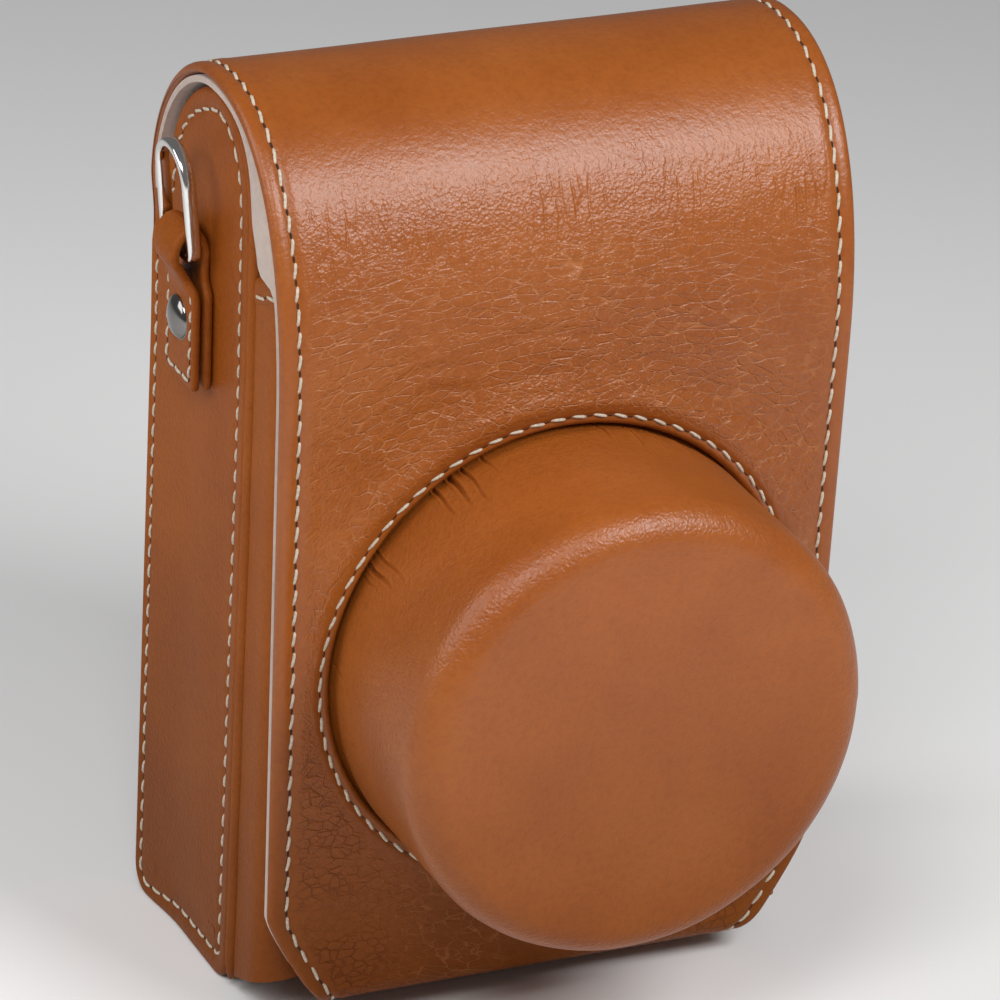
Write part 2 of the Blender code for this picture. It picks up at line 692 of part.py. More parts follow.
def make_strap_tab(side, hand):
    """Doubled leather tab with the loop that holds the ring, on the gusset's outer face."""
    outline, bore = strap_outline()
    base = GUSSET_X + GAP
    to_frame = Matrix(((side, 0, 0, side * base), (0, 0, 1, TAB_Y), (0, 1, 0, 0), (0, 0, 0, 1)))
    mesh = outline_mesh(hand + "_strap_tab", [outline, bore], 2 * STRAP_HALF, to_frame)
    widen(mesh)
    tab = finish(hand + "_strap_tab", mesh, "leather")
    for end in (-1, 1):
        edges = sorted((TAB_Y + end * LOOP_HALF, TAB_Y + end * 2 * STRAP_HALF))
        reach = sorted((side * (base - STRAP_THICK), side * (base + 3 * STRAP_THICK)))
        name = hand + ("_front" if end < 0 else "_rear") + "_notch"
        cut(tab, box_cutter(name, (reach[0], edges[0], STRAP_SHOULDER_Z),
                            (reach[1], edges[1], LOOP_Z + 2 * LOOP_RADIUS)))
    cut(tab, cylinder_cutter(hand + "_tab_hole", POST_RADIUS + GAP, PUNCH,
                             (side * (base + STRAP_THICK / 2), TAB_Y, RIVET_Z), (1, 0, 0), 24))


def make_rivet(side, hand):
    """Domed rivet through the tab and gusset, and the burr that holds it inside."""
    face = widened(GUSSET_X + GAP + STRAP_THICK, RIVET_Z) + GAP
    inside = widened(GUSSET_X - LEATHER, RIVET_Z)
    length = face - inside
    profile = [(RIVET_RADIUS * math.sin(turn),
                length + RIVET_RIM + (RIVET_DOME - RIVET_RIM) * math.cos(turn))
               for turn in [math.pi / 2 * i / 6 for i in range(7)]]
    profile += [(RIVET_RADIUS, length), (POST_RADIUS, length), (POST_RADIUS, POST_END),
                (0.0, POST_END)]
    turned(hand + "_rivet", profile, (side * inside, TAB_Y, RIVET_Z), (side, 0, 0), "nickel", 32)
    burr_x = side * (inside - BURR_GAP - BURR_THICK)
    turned(hand + "_rivet_burr", disc(BURR_RADIUS, BURR_THICK), (burr_x, TAB_Y, RIVET_Z),
           (side, 0, 0), "nickel", 24)


def ring_outline(grow):
    """An oblong ring's edge in (y, z) about its bar: square foot, round head."""
    half = RING_INNER_HALF + grow
    foot = RING_FOOT + grow
    low = RING_THICK / 2 - grow
    head = RING_RISE - RING_THICK - RING_INNER_HALF
    outline = arc((half - foot, low + foot), foot, -90, 0, 5)
    outline += arc((0.0, head), half, 0, 180, 20)
    outline += arc((-half + foot, low + foot), foot, 180, 270, 5)
    return outline


def make_ring(side, hand):
    """Nickelled ring of flat band, hung on an axis through its loop."""
    axis_x = side * widened(GUSSET_X + GAP + LOOP_RADIUS, LOOP_Z)
    pivot = pivot_empty(hand + "_ring_axis", (axis_x, TAB_Y, LOOP_Z))
    pivot.rotation_euler = (0.0, side * RING_LEAN, 0.0)
    mesh = outline_mesh(hand + "_ring", [ring_outline(RING_THICK), ring_outline(0.0)], RING_WIDTH,
                        side_plane(0.0), RING_SOFTEN)
    finish(hand + "_ring", mesh, "nickel", pivot)


make_back()
make_bottom()
make_front_wall()
for case_side, case_hand in ((-1, "left"), (1, "right")):
    make_gusset(case_side, case_hand)
    make_binding(case_side, case_hand)
    make_strap_tab(case_side, case_hand)
    make_rivet(case_side, case_hand)
    make_ring(case_side, case_hand)
flap_pivot = pivot_empty("flap_axis", (0.0, BACK_Y, HINGE_Z))
tab_pivot = pivot_empty("closure_tab_axis", (0.0, *fold_point(FOLD_SPLIT)), flap_pivot)
make_flap(flap_pivot)
make_cup(flap_pivot)
make_closure_tab(tab_pivot)
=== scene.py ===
"""Looks of the leather ever ready case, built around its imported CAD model. Lengths are millimetres."""
import json
import math

import bmesh
import bpy
import numpy as np
from mathutils import Matrix, Vector, geometry, noise


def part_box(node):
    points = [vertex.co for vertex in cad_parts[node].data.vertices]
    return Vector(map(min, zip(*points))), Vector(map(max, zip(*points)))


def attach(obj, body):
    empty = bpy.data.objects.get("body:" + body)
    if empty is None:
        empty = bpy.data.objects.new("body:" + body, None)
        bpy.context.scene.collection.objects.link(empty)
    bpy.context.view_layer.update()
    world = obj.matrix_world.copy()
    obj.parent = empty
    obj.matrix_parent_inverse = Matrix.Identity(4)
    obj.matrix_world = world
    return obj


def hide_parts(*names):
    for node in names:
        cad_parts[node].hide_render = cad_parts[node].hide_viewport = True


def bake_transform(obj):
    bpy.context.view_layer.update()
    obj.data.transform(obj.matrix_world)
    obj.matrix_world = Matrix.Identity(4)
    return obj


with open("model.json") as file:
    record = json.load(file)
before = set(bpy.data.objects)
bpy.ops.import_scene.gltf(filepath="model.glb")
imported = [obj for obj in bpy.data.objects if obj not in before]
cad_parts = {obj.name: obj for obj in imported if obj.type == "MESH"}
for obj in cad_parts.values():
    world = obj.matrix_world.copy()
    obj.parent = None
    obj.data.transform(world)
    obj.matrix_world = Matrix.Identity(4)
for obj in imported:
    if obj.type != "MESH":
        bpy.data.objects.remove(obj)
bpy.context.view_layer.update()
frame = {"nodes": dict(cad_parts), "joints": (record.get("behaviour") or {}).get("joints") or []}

MM = 0.001
random = np.random.default_rng(7)


def box(node):
    """A CAD node's lowest and highest corner in millimetres."""
    low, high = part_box(node)
    return np.array(low) / MM, np.array(high) / MM


# ---------------------------------------------------------------- sizes, from the frame

LEATHER = 1.3
BACK = box("back_panel")[1][1]
FRONT = box("flap_leather")[0][1]
CROWN = box("flap_leather")[1][2]
HINGE = box("back_panel")[1][2]
CROWN_Y = BACK - 22.6
ARCH_FRONT = CROWN - 41.0
COVER_HALF = 42.8
WIDTH_Z = 94.0
WIDENING = 0.000334

CUP_Z = sum(box("cup_leather"))[2] / 2
CUP_RADIUS = 34.0
CUP_FACE = box("cup_leather")[0][1]
HOLE = 34.25
CUP_RING = 36.9
CUP_SEAM = 35.75

FOLD_RADIUS = 4.0
FOLD_Z = 7.3
FOLD_END = math.radians(77.5)
TAPER_START = 18.8
TAPER_HALF = 34.0
TAPER_POWER = 1.2
TAB_LENGTH = 13.0
TAB_HALF = 31.0
TAB_ROUND = 5.0
SEAM_Z = 11.0

GUSSET_X = 41.46
GUSSET_FRONT = box("left_gusset")[0][1]
GUSSET_BACK = box("left_gusset")[1][1]
GUSSET_REACH = GUSSET_BACK + 0.9
GUSSET_CROWN_Y = GUSSET_FRONT + 12.95
GUSSET_ARCH = 116.0
GUSSET_CORNER = 4.4
WALL_Y = box("front_wall")[0][1]
WALL_REAR = box("front_wall")[1][1]
WALL_HALF = 41.2
WALL_TOP = box("front_wall")[1][2]
BINDING_TOP = box("left_wall_binding")[1][2]
WALL_CORNER = 4.0
SLOT = 31.0
BOTTOM = box("bottom_panel")[0][2]
CHIN_TOP = 8.9
CHIN_Y = GUSSET_FRONT - 0.55

STRAP_Y = sum(box("left_strap_tab"))[1] / 2
STRAP_X = GUSSET_X + 0.15
STRAP_THICK = 1.32
STRAP_LOW = box("left_strap_tab")[0][2]
RIVET_Z = sum(box("left_rivet"))[2] / 2
RING_JOINT = {j["child"]: j for j in frame["joints"]}["left_ring"]
RING_AXIS = np.array(RING_JOINT["pos_m"]) / MM

HANDS = ((-1, "left"), (1, "right"))
STITCH = 3.15
INSET = 2.6
SEAM_DEPTH = 0.22


def widened(x, z):
    """A width at height z, as the CAD model widens towards its top."""
    return x * (1.0 + WIDENING * (z - WIDTH_Z))


def fuller(z):
    """How much the soft body bulges outwards towards its foot."""
    return 1.2 * np.clip(1.0 - np.asarray(z) / 90.0, 0.0, 1.0)


# ---------------------------------------------------------------- mesh helpers

def smooth(a, b, x):
    """Soft step from 0 at a to 1 at b."""
    t = np.clip((np.asarray(x, float) - a) / (b - a), 0.0, 1.0)
    return t * t * (3.0 - 2.0 * t)


def ripple(points, size, seed=0.0):
    """Gradient noise of a feature size at each point."""
    flat = np.asarray(points, float).reshape(-1, 3) / size + seed
    values = [noise.noise(Vector(p)) for p in flat]
    return np.array(values).reshape(np.asarray(points).shape[:-1])


def unit(vectors):
    """Vectors of length one."""
    return vectors / np.linalg.norm(vectors, axis=-1, keepdims=True)


def headings(points):
    """Unit directions along a polyline."""
    return unit(np.gradient(points, axis=0))


def turned(along, sign=1.0):
    """Flat directions turned a quarter to the left, or to the right with sign -1."""
    return np.stack([-along[:, 1] * sign, along[:, 0] * sign], 1)


def upright(x, flat):
    """Points in space from a side distance and flat (y, z) points."""
    return np.stack([np.broadcast_to(x, len(flat)), flat[:, 0], flat[:, 1]], 1)


def mesh_object(name, vertices, faces, material, autosmooth=50.0):
    """A closed smooth-shaded mesh object from millimetre points."""
    mesh = bpy.data.meshes.new(name)
    mesh.from_pydata((np.asarray(vertices, float) * MM).tolist(), [], [list(f) for f in faces])
    form = bmesh.new()
    form.from_mesh(mesh)
    bmesh.ops.recalc_face_normals(form, faces=form.faces)
    form.to_mesh(mesh)
    form.free()
    mesh.shade_smooth()
    if autosmooth:
        mesh.set_sharp_from_angle(angle=math.radians(autosmooth))
    mesh.materials.append(material)
    made = bpy.data.objects.new(name, mesh)
    bpy.context.scene.collection.objects.link(made)
    return made


def resample(points, spacing=None, stations=None):
    """Points along a polyline at even spacing or at stated distances, with their distances."""
    points = np.asarray(points, float)
    run = np.concatenate([[0.0], np.cumsum(np.linalg.norm(np.diff(points, axis=0), axis=1))])
    if stations is None:
        stations = np.linspace(0.0, run[-1], max(2, int(round(run[-1] / spacing)) + 1))
    stations = np.asarray(stations, float)
    return np.stack([np.interp(stations, run, points[:, k]) for k in range(points.shape[1])], 1), stations


def length_of(points):
    """A polyline's length."""
    return float(np.linalg.norm(np.diff(np.asarray(points, float), axis=0), axis=1).sum())


def arc(centre, radius, start, end, count):
    """Points on a circle between two angles in degrees."""
    turn = np.radians(np.linspace(start, end, count + 1))
    return np.stack([centre[0] + radius * np.cos(turn), centre[1] + radius * np.sin(turn)], 1)


def rounding(edge, radius):
    """How far a rounded edge falls away at a distance in from the edge."""
    inside = np.clip(radius - np.asarray(edge, float), 0.0, radius)
    return radius - np.sqrt(radius ** 2 - inside ** 2)


def sheet(rows, normals, x, widen=True):
    """A sheet's grid from its profile and columns: widths, depths, heights, and its placing."""
    y = np.repeat(rows[:, :1], x.shape[1], 1)
    z = np.repeat(rows[:, 1:], x.shape[1], 1)
    wide = widened(x, z) if widen else x

    def placed(depth):
        return np.stack([wide, y - normals[:, :1] * depth, z - normals[:, 1:] * depth], -1)

    return wide, y, z, placed


def joined(shape, first=False, last=False):
    """Marks where a grid's two faces meet: down both sides, and at the first or last row."""
    shared = np.zeros(shape, bool)
    shared[:, [0, -1]] = True
    shared[0] |= first
    shared[-1] |= last
    return shared


def snap(grids, members, angle, radius):
    """Moves some grid points on to a circle round the cup's axis."""
    for grid in grids:
        grid[members, 0] = radius * np.cos(angle[members])
        grid[members, 2] = CUP_Z + radius * np.sin(angle[members])


def middles(grid):
    """The middle of each quad of a grid."""
    return (grid[:-1, :-1] + grid[1:, 1:]) / 2


def hole_edge(keep):
    """Grid points between the quads that stay and those cut away."""
    cut_near = np.zeros(np.array(keep.shape) + 1, bool)
    kept_near = cut_near.copy()
    for a in (0, 1):
        for b in (0, 1):
            part = (slice(a, keep.shape[0] + a), slice(b, keep.shape[1] + b))
            cut_near[part] |= ~keep
            kept_near[part] |= keep
    return cut_near & kept_near


def compact(vertices, faces):
    """Vertices and faces without the points that no face uses."""
    used = np.zeros(len(vertices), bool)
    for face in faces:
        used[list(face)] = True
    renumber = np.cumsum(used) - 1
    return np.asarray(vertices)[used], [tuple(int(renumber[v]) for v in face) for face in faces]


def skin(name, top, bottom, material, keep=None, shared=None, rim=None):
    """Two grids of points, outer and inner, closed into one body along their free edges.

    keep marks the grid's quads that stay, shared the points where both faces meet, and rim the
    rings that finish a round hole: its boundary points, the rings' radii, and their placing.
    """
    rows, columns = top.shape[:2]
    count = rows * columns
    index = np.arange(count).reshape(rows, columns)
    keep = np.ones((rows - 1, columns - 1), bool) if keep is None else keep
    shared = np.zeros((rows, columns), bool) if shared is None else shared
    flat_shared = shared.reshape(-1)
    vertices = [top.reshape(-1, 3), bottom.reshape(-1, 3)]
    lower = np.where(flat_shared, np.arange(count), np.arange(count) + count)
    faces, edges = [], {}
    for i, j in zip(*np.nonzero(keep)):
        a, b, c, d = (int(index[i, j]), int(index[i, j + 1]), int(index[i + 1, j + 1]),
                      int(index[i + 1, j]))
        faces.append((a, b, c, d))
        faces.append((int(lower[d]), int(lower[c]), int(lower[b]), int(lower[a])))
        for pair in ((a, b), (b, c), (c, d), (d, a)):
            if pair[::-1] in edges:
                del edges[pair[::-1]]
            else:
                edges[pair] = True
    extra = count * 2
    boundary = list(edges)
    if rim:
        is_rim, radii, place = rim
        ring_edges = [e for e in boundary if is_rim[e[0]] and is_rim[e[1]]]
        boundary = [e for e in boundary if not (is_rim[e[0]] and is_rim[e[1]])]
        members = sorted({v for e in ring_edges for v in e})
        order = {v: k for k, v in enumerate(members)}
        flat = vertices[0][members]
        layers = [members]
        for radius in radii:
            vertices.append(place(flat, radius, True))
            layers.append([extra + m for m in range(len(members))])
            extra += len(members)
        for radius in radii[-2::-1]:
            vertices.append(place(flat, radius, False))
            layers.append([extra + m for m in range(len(members))])
            extra += len(members)
        layers.append([int(lower[v]) for v in members])
        for one, two in zip(layers, layers[1:]):
            for a, b in ring_edges:
                faces.append((one[order[b]], one[order[a]], two[order[a]], two[order[b]]))
    for a, b in boundary:
        quad = [b, a]
        if lower[a] != a:
            quad.append(int(lower[a]))
        if lower[b] != b:
            quad.append(int(lower[b]))
        if len(quad) > 2:
            faces.append(tuple(quad))
    return mesh_object(name, *compact(np.concatenate(vertices), faces), material)


def loft(count, around, base=0, capped=True):
    """Faces of a body lofted through closed sections; a ring when it isn't capped."""
    faces = []
    for i in range(count - 1 if capped else count):
        one, two = base + i * around, base + (i + 1) % count * around
        for j in range(around):
            m = (j + 1) % around
            faces.append((one + j, one + m, two + m, two + j))
    if capped:
        faces.append(tuple(base + j for j in range(around))[::-1])
        faces.append(tuple(base + (count - 1) * around + j for j in range(around)))
    return faces


def tube(name, sections, material, capped=True, autosmooth=50.0):
    """A body lofted through closed sections."""
    sections = np.asarray(sections, float)
    faces = loft(*sections.shape[:2], capped=capped)
    return mesh_object(name, sections.reshape(-1, 3), faces, material, autosmooth)


def rounded_section(half_out, half_up, power_out, power_up, count):
    """Points round a rectangle with softened corners."""
    points = []
    for t in np.linspace(0.0, 2 * math.pi, count, endpoint=False):
        c, s = math.cos(t), math.sin(t)
        points.append((math.copysign(abs(c) ** power_out, c) * half_out,
                       math.copysign(abs(s) ** power_up, s) * half_up))
    return points


def revolve(name, profile, place, material, around=96, relief=None, autosmooth=50.0):
    """A turned body: (radius, height) points, placed by place(radius, angle, height)."""
    angles = np.linspace(0.0, 2 * math.pi, around, endpoint=False) if np.isscalar(around) else around
    around = len(angles)
    vertices, rings = [], []
    for k, (radius, height) in enumerate(profile):
        if radius < 1e-6:
            rings.append([len(vertices)])
            vertices.append(place(0.0, 0.0, height))
            continue
        rings.append(list(range(len(vertices), len(vertices) + around)))
        for angle in angles:
            r, h = (radius, height) if relief is None else relief(k, radius, angle, height)
            vertices.append(place(r, angle, h))
    faces = []
    for one, two in zip(rings, rings[1:]):
        for j in range(around):
            m = (j + 1) % around
            corners = (one[j % len(one)], one[m % len(one)], two[m % len(two)], two[j % len(two)])
            faces.append(tuple(dict.fromkeys(corners)))
    return mesh_object(name, vertices, faces, material, autosmooth)


# ---------------------------------------------------------------- materials

class Shading:
    """A new material's nodes, with short hands for the kinds used here."""

    def __init__(self, name):
        self.material = bpy.data.materials.new(name)
        self.material.use_nodes = True
        self.tree = self.material.node_tree
        self.shader = self.tree.nodes["Principled BSDF"]
        self.where = self.add("TexCoord").outputs["Object"]

    def fill(self, node, inputs):
        """Sets a node's inputs: a socket is linked, anything else is its value."""
        for key, value in inputs.items():
            if isinstance(value, bpy.types.NodeSocket):
                self.tree.links.new(value, node.inputs[key])
            else:
                node.inputs[key].default_value = value
        return node

    def add(self, kind, inputs=None, **settings):
        node = self.tree.nodes.new("ShaderNode" + kind)
        for key, value in settings.items():
            setattr(node, key, value)
        return self.fill(node, inputs or {})

    def noise(self, scale, detail, roughness=0.5, vector=None):
        vector = self.where if vector is None else vector
        return self.add("TexNoise", {"Vector": vector, "Scale": scale, "Detail": detail,
                                     "Roughness": roughness}).outputs

    def cells(self, scale, vector=None, feature="DISTANCE_TO_EDGE"):
        vector = self.where if vector is None else vector
        return self.add("TexVoronoi", {"Vector": vector, "Scale": scale},
                        feature=feature).outputs["Distance"]

    def ramp(self, source, stops, interpolation="LINEAR"):
        node = self.add("ValToRGB", {"Fac": source})
        band = node.color_ramp
        band.interpolation = interpolation
        while len(band.elements) < len(stops):
            band.elements.new(0.5)
        for element, (place, colour) in zip(band.elements, stops):
            element.position = place
            element.color = (*colour, 1.0)
        return node.outputs["Color"]

    def maths(self, operation, a, b=0.5):
        return self.add("Math", {0: a, 1: b}, operation=operation).outputs["Value"]

    def mix(self, factor, a, b, blend_type="MIX"):
        return self.add("Mix", {"Factor": factor, "A": a, "B": b}, data_type="RGBA",
                        blend_type=blend_type).outputs["Result"]

    def scaled(self, factors, vector, rotation=(0.0, 0.0, 0.0)):
        return self.add("Mapping", {"Vector": vector, "Scale": factors,
                                    "Rotation": rotation}).outputs["Vector"]

    def shifted(self, vector, by, amount):
        return self.add("VectorMath", {0: by, 1: (amount, amount, amount), 2: vector},
                        operation="MULTIPLY_ADD").outputs["Vector"]

    def ranged(self, value, low, high, to_low, to_high, **settings):
        return self.add("MapRange", {"Value": value, "From Min": low, "From Max": high,
                                     "To Min": to_low, "To Max": to_high},
                        **settings).outputs["Result"]

    def bump(self, source, height, normal=None, mask=None, strength=1.0):
        if mask is not None:
            source = self.maths("MULTIPLY", source, mask)
        inputs = {"Strength": strength, "Distance": height, "Height": source}
        if normal is not None:
            inputs["Normal"] = normal
        return self.add("Bump", inputs).outputs["Normal"]

    def surface(self, **inputs):
        """The material, with the shader's inputs set; an underline stands for a space."""
        self.fill(self.shader, {key.replace("_", " "): value for key, value in inputs.items()})
        return self.material


WHITE = (1.0, 1.0, 1.0)
BLACK = (0.0, 0.0, 0.0)
TAN = [(0.30, (0.255, 0.062, 0.007)), (0.52, (0.290, 0.075, 0.009)), (0.75, (0.325, 0.090, 0.013))]
# Tints for the crease lines: the pale one is partly the leather's lighter colour in its creases and partly
# painted highlight on their ridges; the dark one is painted shade in the folds.
PALE_CREASE_AND_HIGHLIGHT = (0.56, 0.25, 0.10, 1.0)
PAINTED_FOLD_SHADE = (0.085, 0.017, 0.002, 1.0)
# Lowest factor of the painted shade that darkens leather towards its foot.
PAINTED_FOOT_SHADE = 0.66
DULL = 0.2


def creased(look, colour, normal, work):
    """The broken net of creases, with pale lines partly of lighter colour and partly painted highlight,
    dark folds of painted shade, and furrows over worked leather's colour and normal.
    """
    flow = look.add("Attribute", attribute_name="flow").outputs["Vector"]
    wrinkle_and_shade = look.add("Attribute", attribute_name="wrinkle_and_shade").outputs["Fac"]
    shift = look.shifted(flow, look.noise(0.9, 3.0, vector=flow)["Color"], 0.35)
    long_cells = look.scaled((4.0, 1.42, 1.0), shift)
    crumple = look.shifted(look.scaled((520.0, 520.0, 800.0), look.where, (0.0, 0.5, 0.0)),
                           look.noise(260.0, 3.0)["Color"], 0.8)
    streaks = look.noise(0.9, 3.0, 0.55, long_cells)["Fac"]
    gaps = look.noise(420.0, 2.0)["Fac"]
    kept = look.ramp(gaps, [(0.34, (0.2, 0.2, 0.2)), (0.52, WHITE)])
    creases_and_highlight = look.maths("MULTIPLY", kept, work["X"])
    net_and_shade = look.maths("MULTIPLY", kept, wrinkle_and_shade)
    normal = look.bump(streaks, 0.00022, normal, work["X"])
    # Each line is pressed in as a groove, and its lift tints the colour along it: the pale crease lines are
    # partly lighter leather and partly painted highlight, and the dark net of the lower corner is painted
    # shade in its folds.
    for texture, level, width, mask, height, lift, tint in (
            (look.cells(1.0, long_cells), 0.0, 0.075, creases_and_highlight, 0.00008, 0.24, PALE_CREASE_AND_HIGHLIGHT),
            (look.noise(1.2, 2.0, 0.45, shift)["Fac"], 0.5, 0.012, creases_and_highlight, 0.00004, 0.15, PALE_CREASE_AND_HIGHLIGHT),
            (look.cells(1.0, crumple), 0.0, 0.09, net_and_shade, 0.00010, 0.42, PAINTED_FOLD_SHADE),
            (look.cells(1.0, look.scaled((560.0, 60.0, 130.0), look.where)),
             0.0, 0.20, work["Y"], 0.00010, 0.0, None)):
        away = look.maths("ABSOLUTE", look.maths("SUBTRACT", texture, level))
        line = look.ramp(away, [(0.0, WHITE), (width, BLACK)], "EASE")
        normal = look.bump(line, -height, normal, mask)
        if lift:
            amount = look.maths("MULTIPLY", look.maths("MULTIPLY", line, mask), lift)
            colour = look.mix(amount, colour, tint)
    return colour, normal


def leather(name, tone=1.0, grain=1.0, rough=0.44, shine=0.5, worked=False):
    """Tan leather: mottled dye and fine grain, darkened towards the foot by painted shade; worked leather
    is also creased along its flow, with pale crease lines that are partly painted highlight and folds of
    painted shade.
    """
    look = Shading(name)
    cloud = look.noise(42.0, 4.0, 0.6)["Fac"]
    fine = look.noise(1000.0, 4.0, 0.6)["Fac"]
    dye = look.ramp(cloud, [(place, [tone * c for c in colour]) for place, colour in TAN])
    shade = look.ramp(fine, [(0.32, (0.80, 0.76, 0.72)), (0.56, WHITE)])
    height = look.add("SeparateXYZ", {"Vector": look.where}).outputs["Z"]
    # Painted shade: the colour is multiplied down towards the floor, to 0.66 at the foot, for light falling
    # off lower on the case; for the shinier leathers the same ramp also lowers the specular level there.
    foot = look.ranged(height, 0.0, 0.085, PAINTED_FOOT_SHADE, 1.0, interpolation_type="SMOOTHSTEP")
    colour = look.mix(1.0, look.mix(0.5, dye, shade, "MULTIPLY"), foot, "MULTIPLY")
    valley = look.ramp(look.cells(900.0), [(0.0, BLACK), (0.16, WHITE)])
    pebble = None
    if worked:
        work = look.add("SeparateXYZ", {
            "Vector": look.add("Attribute", attribute_name="work").outputs["Vector"]}).outputs
        pebble = work["Z"]
    normal = look.bump(look.cells(2100.0, feature="F1"), 0.00006 * grain, None, pebble)
    normal = look.bump(fine, 0.00010 * grain, normal)
    normal = look.bump(valley, 0.00002 * grain, normal, pebble)
    if worked:
        colour, normal = creased(look, colour, normal, work)
    look.shader.inputs["Specular IOR Level"].default_value = shine
    if shine > DULL:
        look.surface(Specular_IOR_Level=look.ranged(foot, PAINTED_FOOT_SHADE, 1.0, 0.15 * shine, shine))
    return look.surface(Base_Color=colour, Normal=normal,
                         Roughness=look.ranged(cloud, 0.0, 1.0, rough - 0.05, rough + 0.08))


def suede(name):
    """Grey-beige suede: soft nap with a little sheen."""
    look = Shading(name)
    nap = look.noise(700.0, 6.0, 0.7)["Fac"]
    blend = look.maths("MULTIPLY", look.maths("ADD", nap, look.noise(60.0, 3.0)["Fac"]), 0.5)
    tint = look.ramp(blend, [(0.3, (0.36, 0.27, 0.23)), (0.7, (0.52, 0.41, 0.35))])
    return look.surface(Base_Color=tint, Normal=look.bump(nap, 0.0003, strength=0.6),
                         Roughness=0.95, Sheen_Weight=0.35, Sheen_Roughness=0.5)


def simple(name, low, high, scale, rough, metal=0.0, bump_height=0.00005):
    """A plain material with a little procedural variation in colour and surface."""
    look = Shading(name)
    grain = look.noise(scale, 4.0)["Fac"]
    return look.surface(Base_Color=look.ramp(grain, [(0.3, low), (0.7, high)]), Roughness=rough,
                         Metallic=metal, Normal=look.bump(grain, bump_height, strength=0.3))


COVER = leather("cover_leather", worked=True, rough=0.33, shine=0.46)
SIDE = leather("side_leather", tone=0.98, grain=0.8, rough=0.46, shine=0.10)
MOULDED = leather("cup_leather", tone=1.06, grain=0.9, rough=0.35, shine=0.45)
SUEDE = suede("suede_lining")
THREAD = simple("cream_thread", (0.40, 0.33, 0.24), (0.60, 0.53, 0.43), 2500.0, 0.7, 0.0, 0.0001)
# Near-black patches at the stitch holes: painted shade in the recesses where the thread dives in.
PAINTED_HOLE_SHADE = simple("needle_hole_painted_shade", (0.020, 0.007, 0.002), (0.045, 0.015, 0.004), 900.0, 0.95)
NICKEL = simple("nickel", (0.74, 0.73, 0.71), (0.80, 0.79, 0.77), 300.0, 0.12, 1.0, 0.00001)
# The rivet's nickel has a low base colour: a painted dark reflection, standing in for the dark surroundings
# it mirrors.
RIVET = simple("nickel_painted_dark_reflection", (0.20, 0.19, 0.18), (0.25, 0.24, 0.23), 300.0, 0.14, 1.0, 0.00001)
BOARD = simple("fibreboard", (0.13, 0.11, 0.09), (0.20, 0.17, 0.14), 1200.0, 0.9, 0.0, 0.0001)
STEEL = simple("magnet_steel", (0.35, 0.35, 0.36), (0.45, 0.45, 0.46), 500.0, 0.4, 1.0)


# ---------------------------------------------------------------- stitching

def stitches(name, points, normals, pitch=STITCH, closed=False):
    """Saddle stitches laid along a seam, each a short bowed thread, with a dark patch of painted shade at
    each hole they dive into.
    """
    points, normals = np.asarray(points, float), np.asarray(normals, float)
    if closed:
        points, normals = np.vstack([points, points[:1]]), np.vstack([normals, normals[:1]])
    run = np.concatenate([[0.0], np.cumsum(np.linalg.norm(np.diff(points, axis=0), axis=1))])
    count = max(1, int(round(run[-1] / pitch)) if closed else int(run[-1] / pitch))
    step = run[-1] / count
    sides = np.linspace(0.0, 2 * math.pi, 8, endpoint=False)
    thread, share, slant = 0.24, 0.78, 0.20
    vertices, faces, slots = [], [], []

    def at(s):
        s = s % run[-1] if closed else np.clip(s, 0.0, run[-1])
        place = np.array([np.interp(s, run, points[:, k]) for k in range(3)])
        normal = np.array([np.interp(s, run, normals[:, k]) for k in range(3)])
        return place, normal / np.linalg.norm(normal)

    def add_capsule(rings, slot):
        new = loft(len(rings), len(sides), len(vertices))
        vertices.extend(point for ring in rings for point in ring)
        faces.extend(new)
        slots.extend([slot] * len(new))

    for k in range(count):
        middle = (k + 0.5) * step
        size = share * step * (1 + 0.08 * (random.random() - 0.5))
        skew = slant + 0.12 * (random.random() - 0.5)
        rings = []
        for t in np.linspace(-1.0, 1.0, 11):
            place, normal = at(middle + t * size / 2)
            ahead, _ = at(middle + t * size / 2 + 0.05)
            behind, _ = at(middle + t * size / 2 - 0.05)
            across_seam = np.cross(unit(ahead - behind), normal)
            bow = 0.5 * thread - 1.3 * thread * abs(t) ** 3.0
            radius = thread * (1.0 - 0.5 * abs(t) ** 5) * (1.0 + 0.07 * math.sin(11.0 * t))
            centre = place + normal * bow + across_seam * skew * t
            rings.append([centre + radius * math.cos(a) * across_seam
                          + radius * 0.85 * math.sin(a) * normal for a in sides])
        add_capsule(rings, 0)
    # A flat dark patch between stitches: painted shade at each needle hole.
    for k in range(count if closed else count - 1):
        place, normal = at((k + 1) * step)
        ahead, _ = at((k + 1) * step + 0.05)
        along = (ahead - place) / max(np.linalg.norm(ahead - place), 1e-6)
        across_seam = np.cross(along, normal)
        rings = []
        for t in np.linspace(-0.92, 0.92, 5):
            swell = math.sqrt(1 - t * t)
            rings.append([place + along * t * 0.15 * step + across_seam * 0.22 * math.cos(a) * swell
                          + normal * 0.04 * math.sin(a) * swell for a in sides])
        add_capsule(rings, 1)
    made = mesh_object(name, vertices, faces, THREAD)
    made.data.materials.append(PAINTED_HOLE_SHADE)
    made.data.polygons.foreach_set("material_index", slots)
    return made


# ---------------------------------------------------------------- the cover

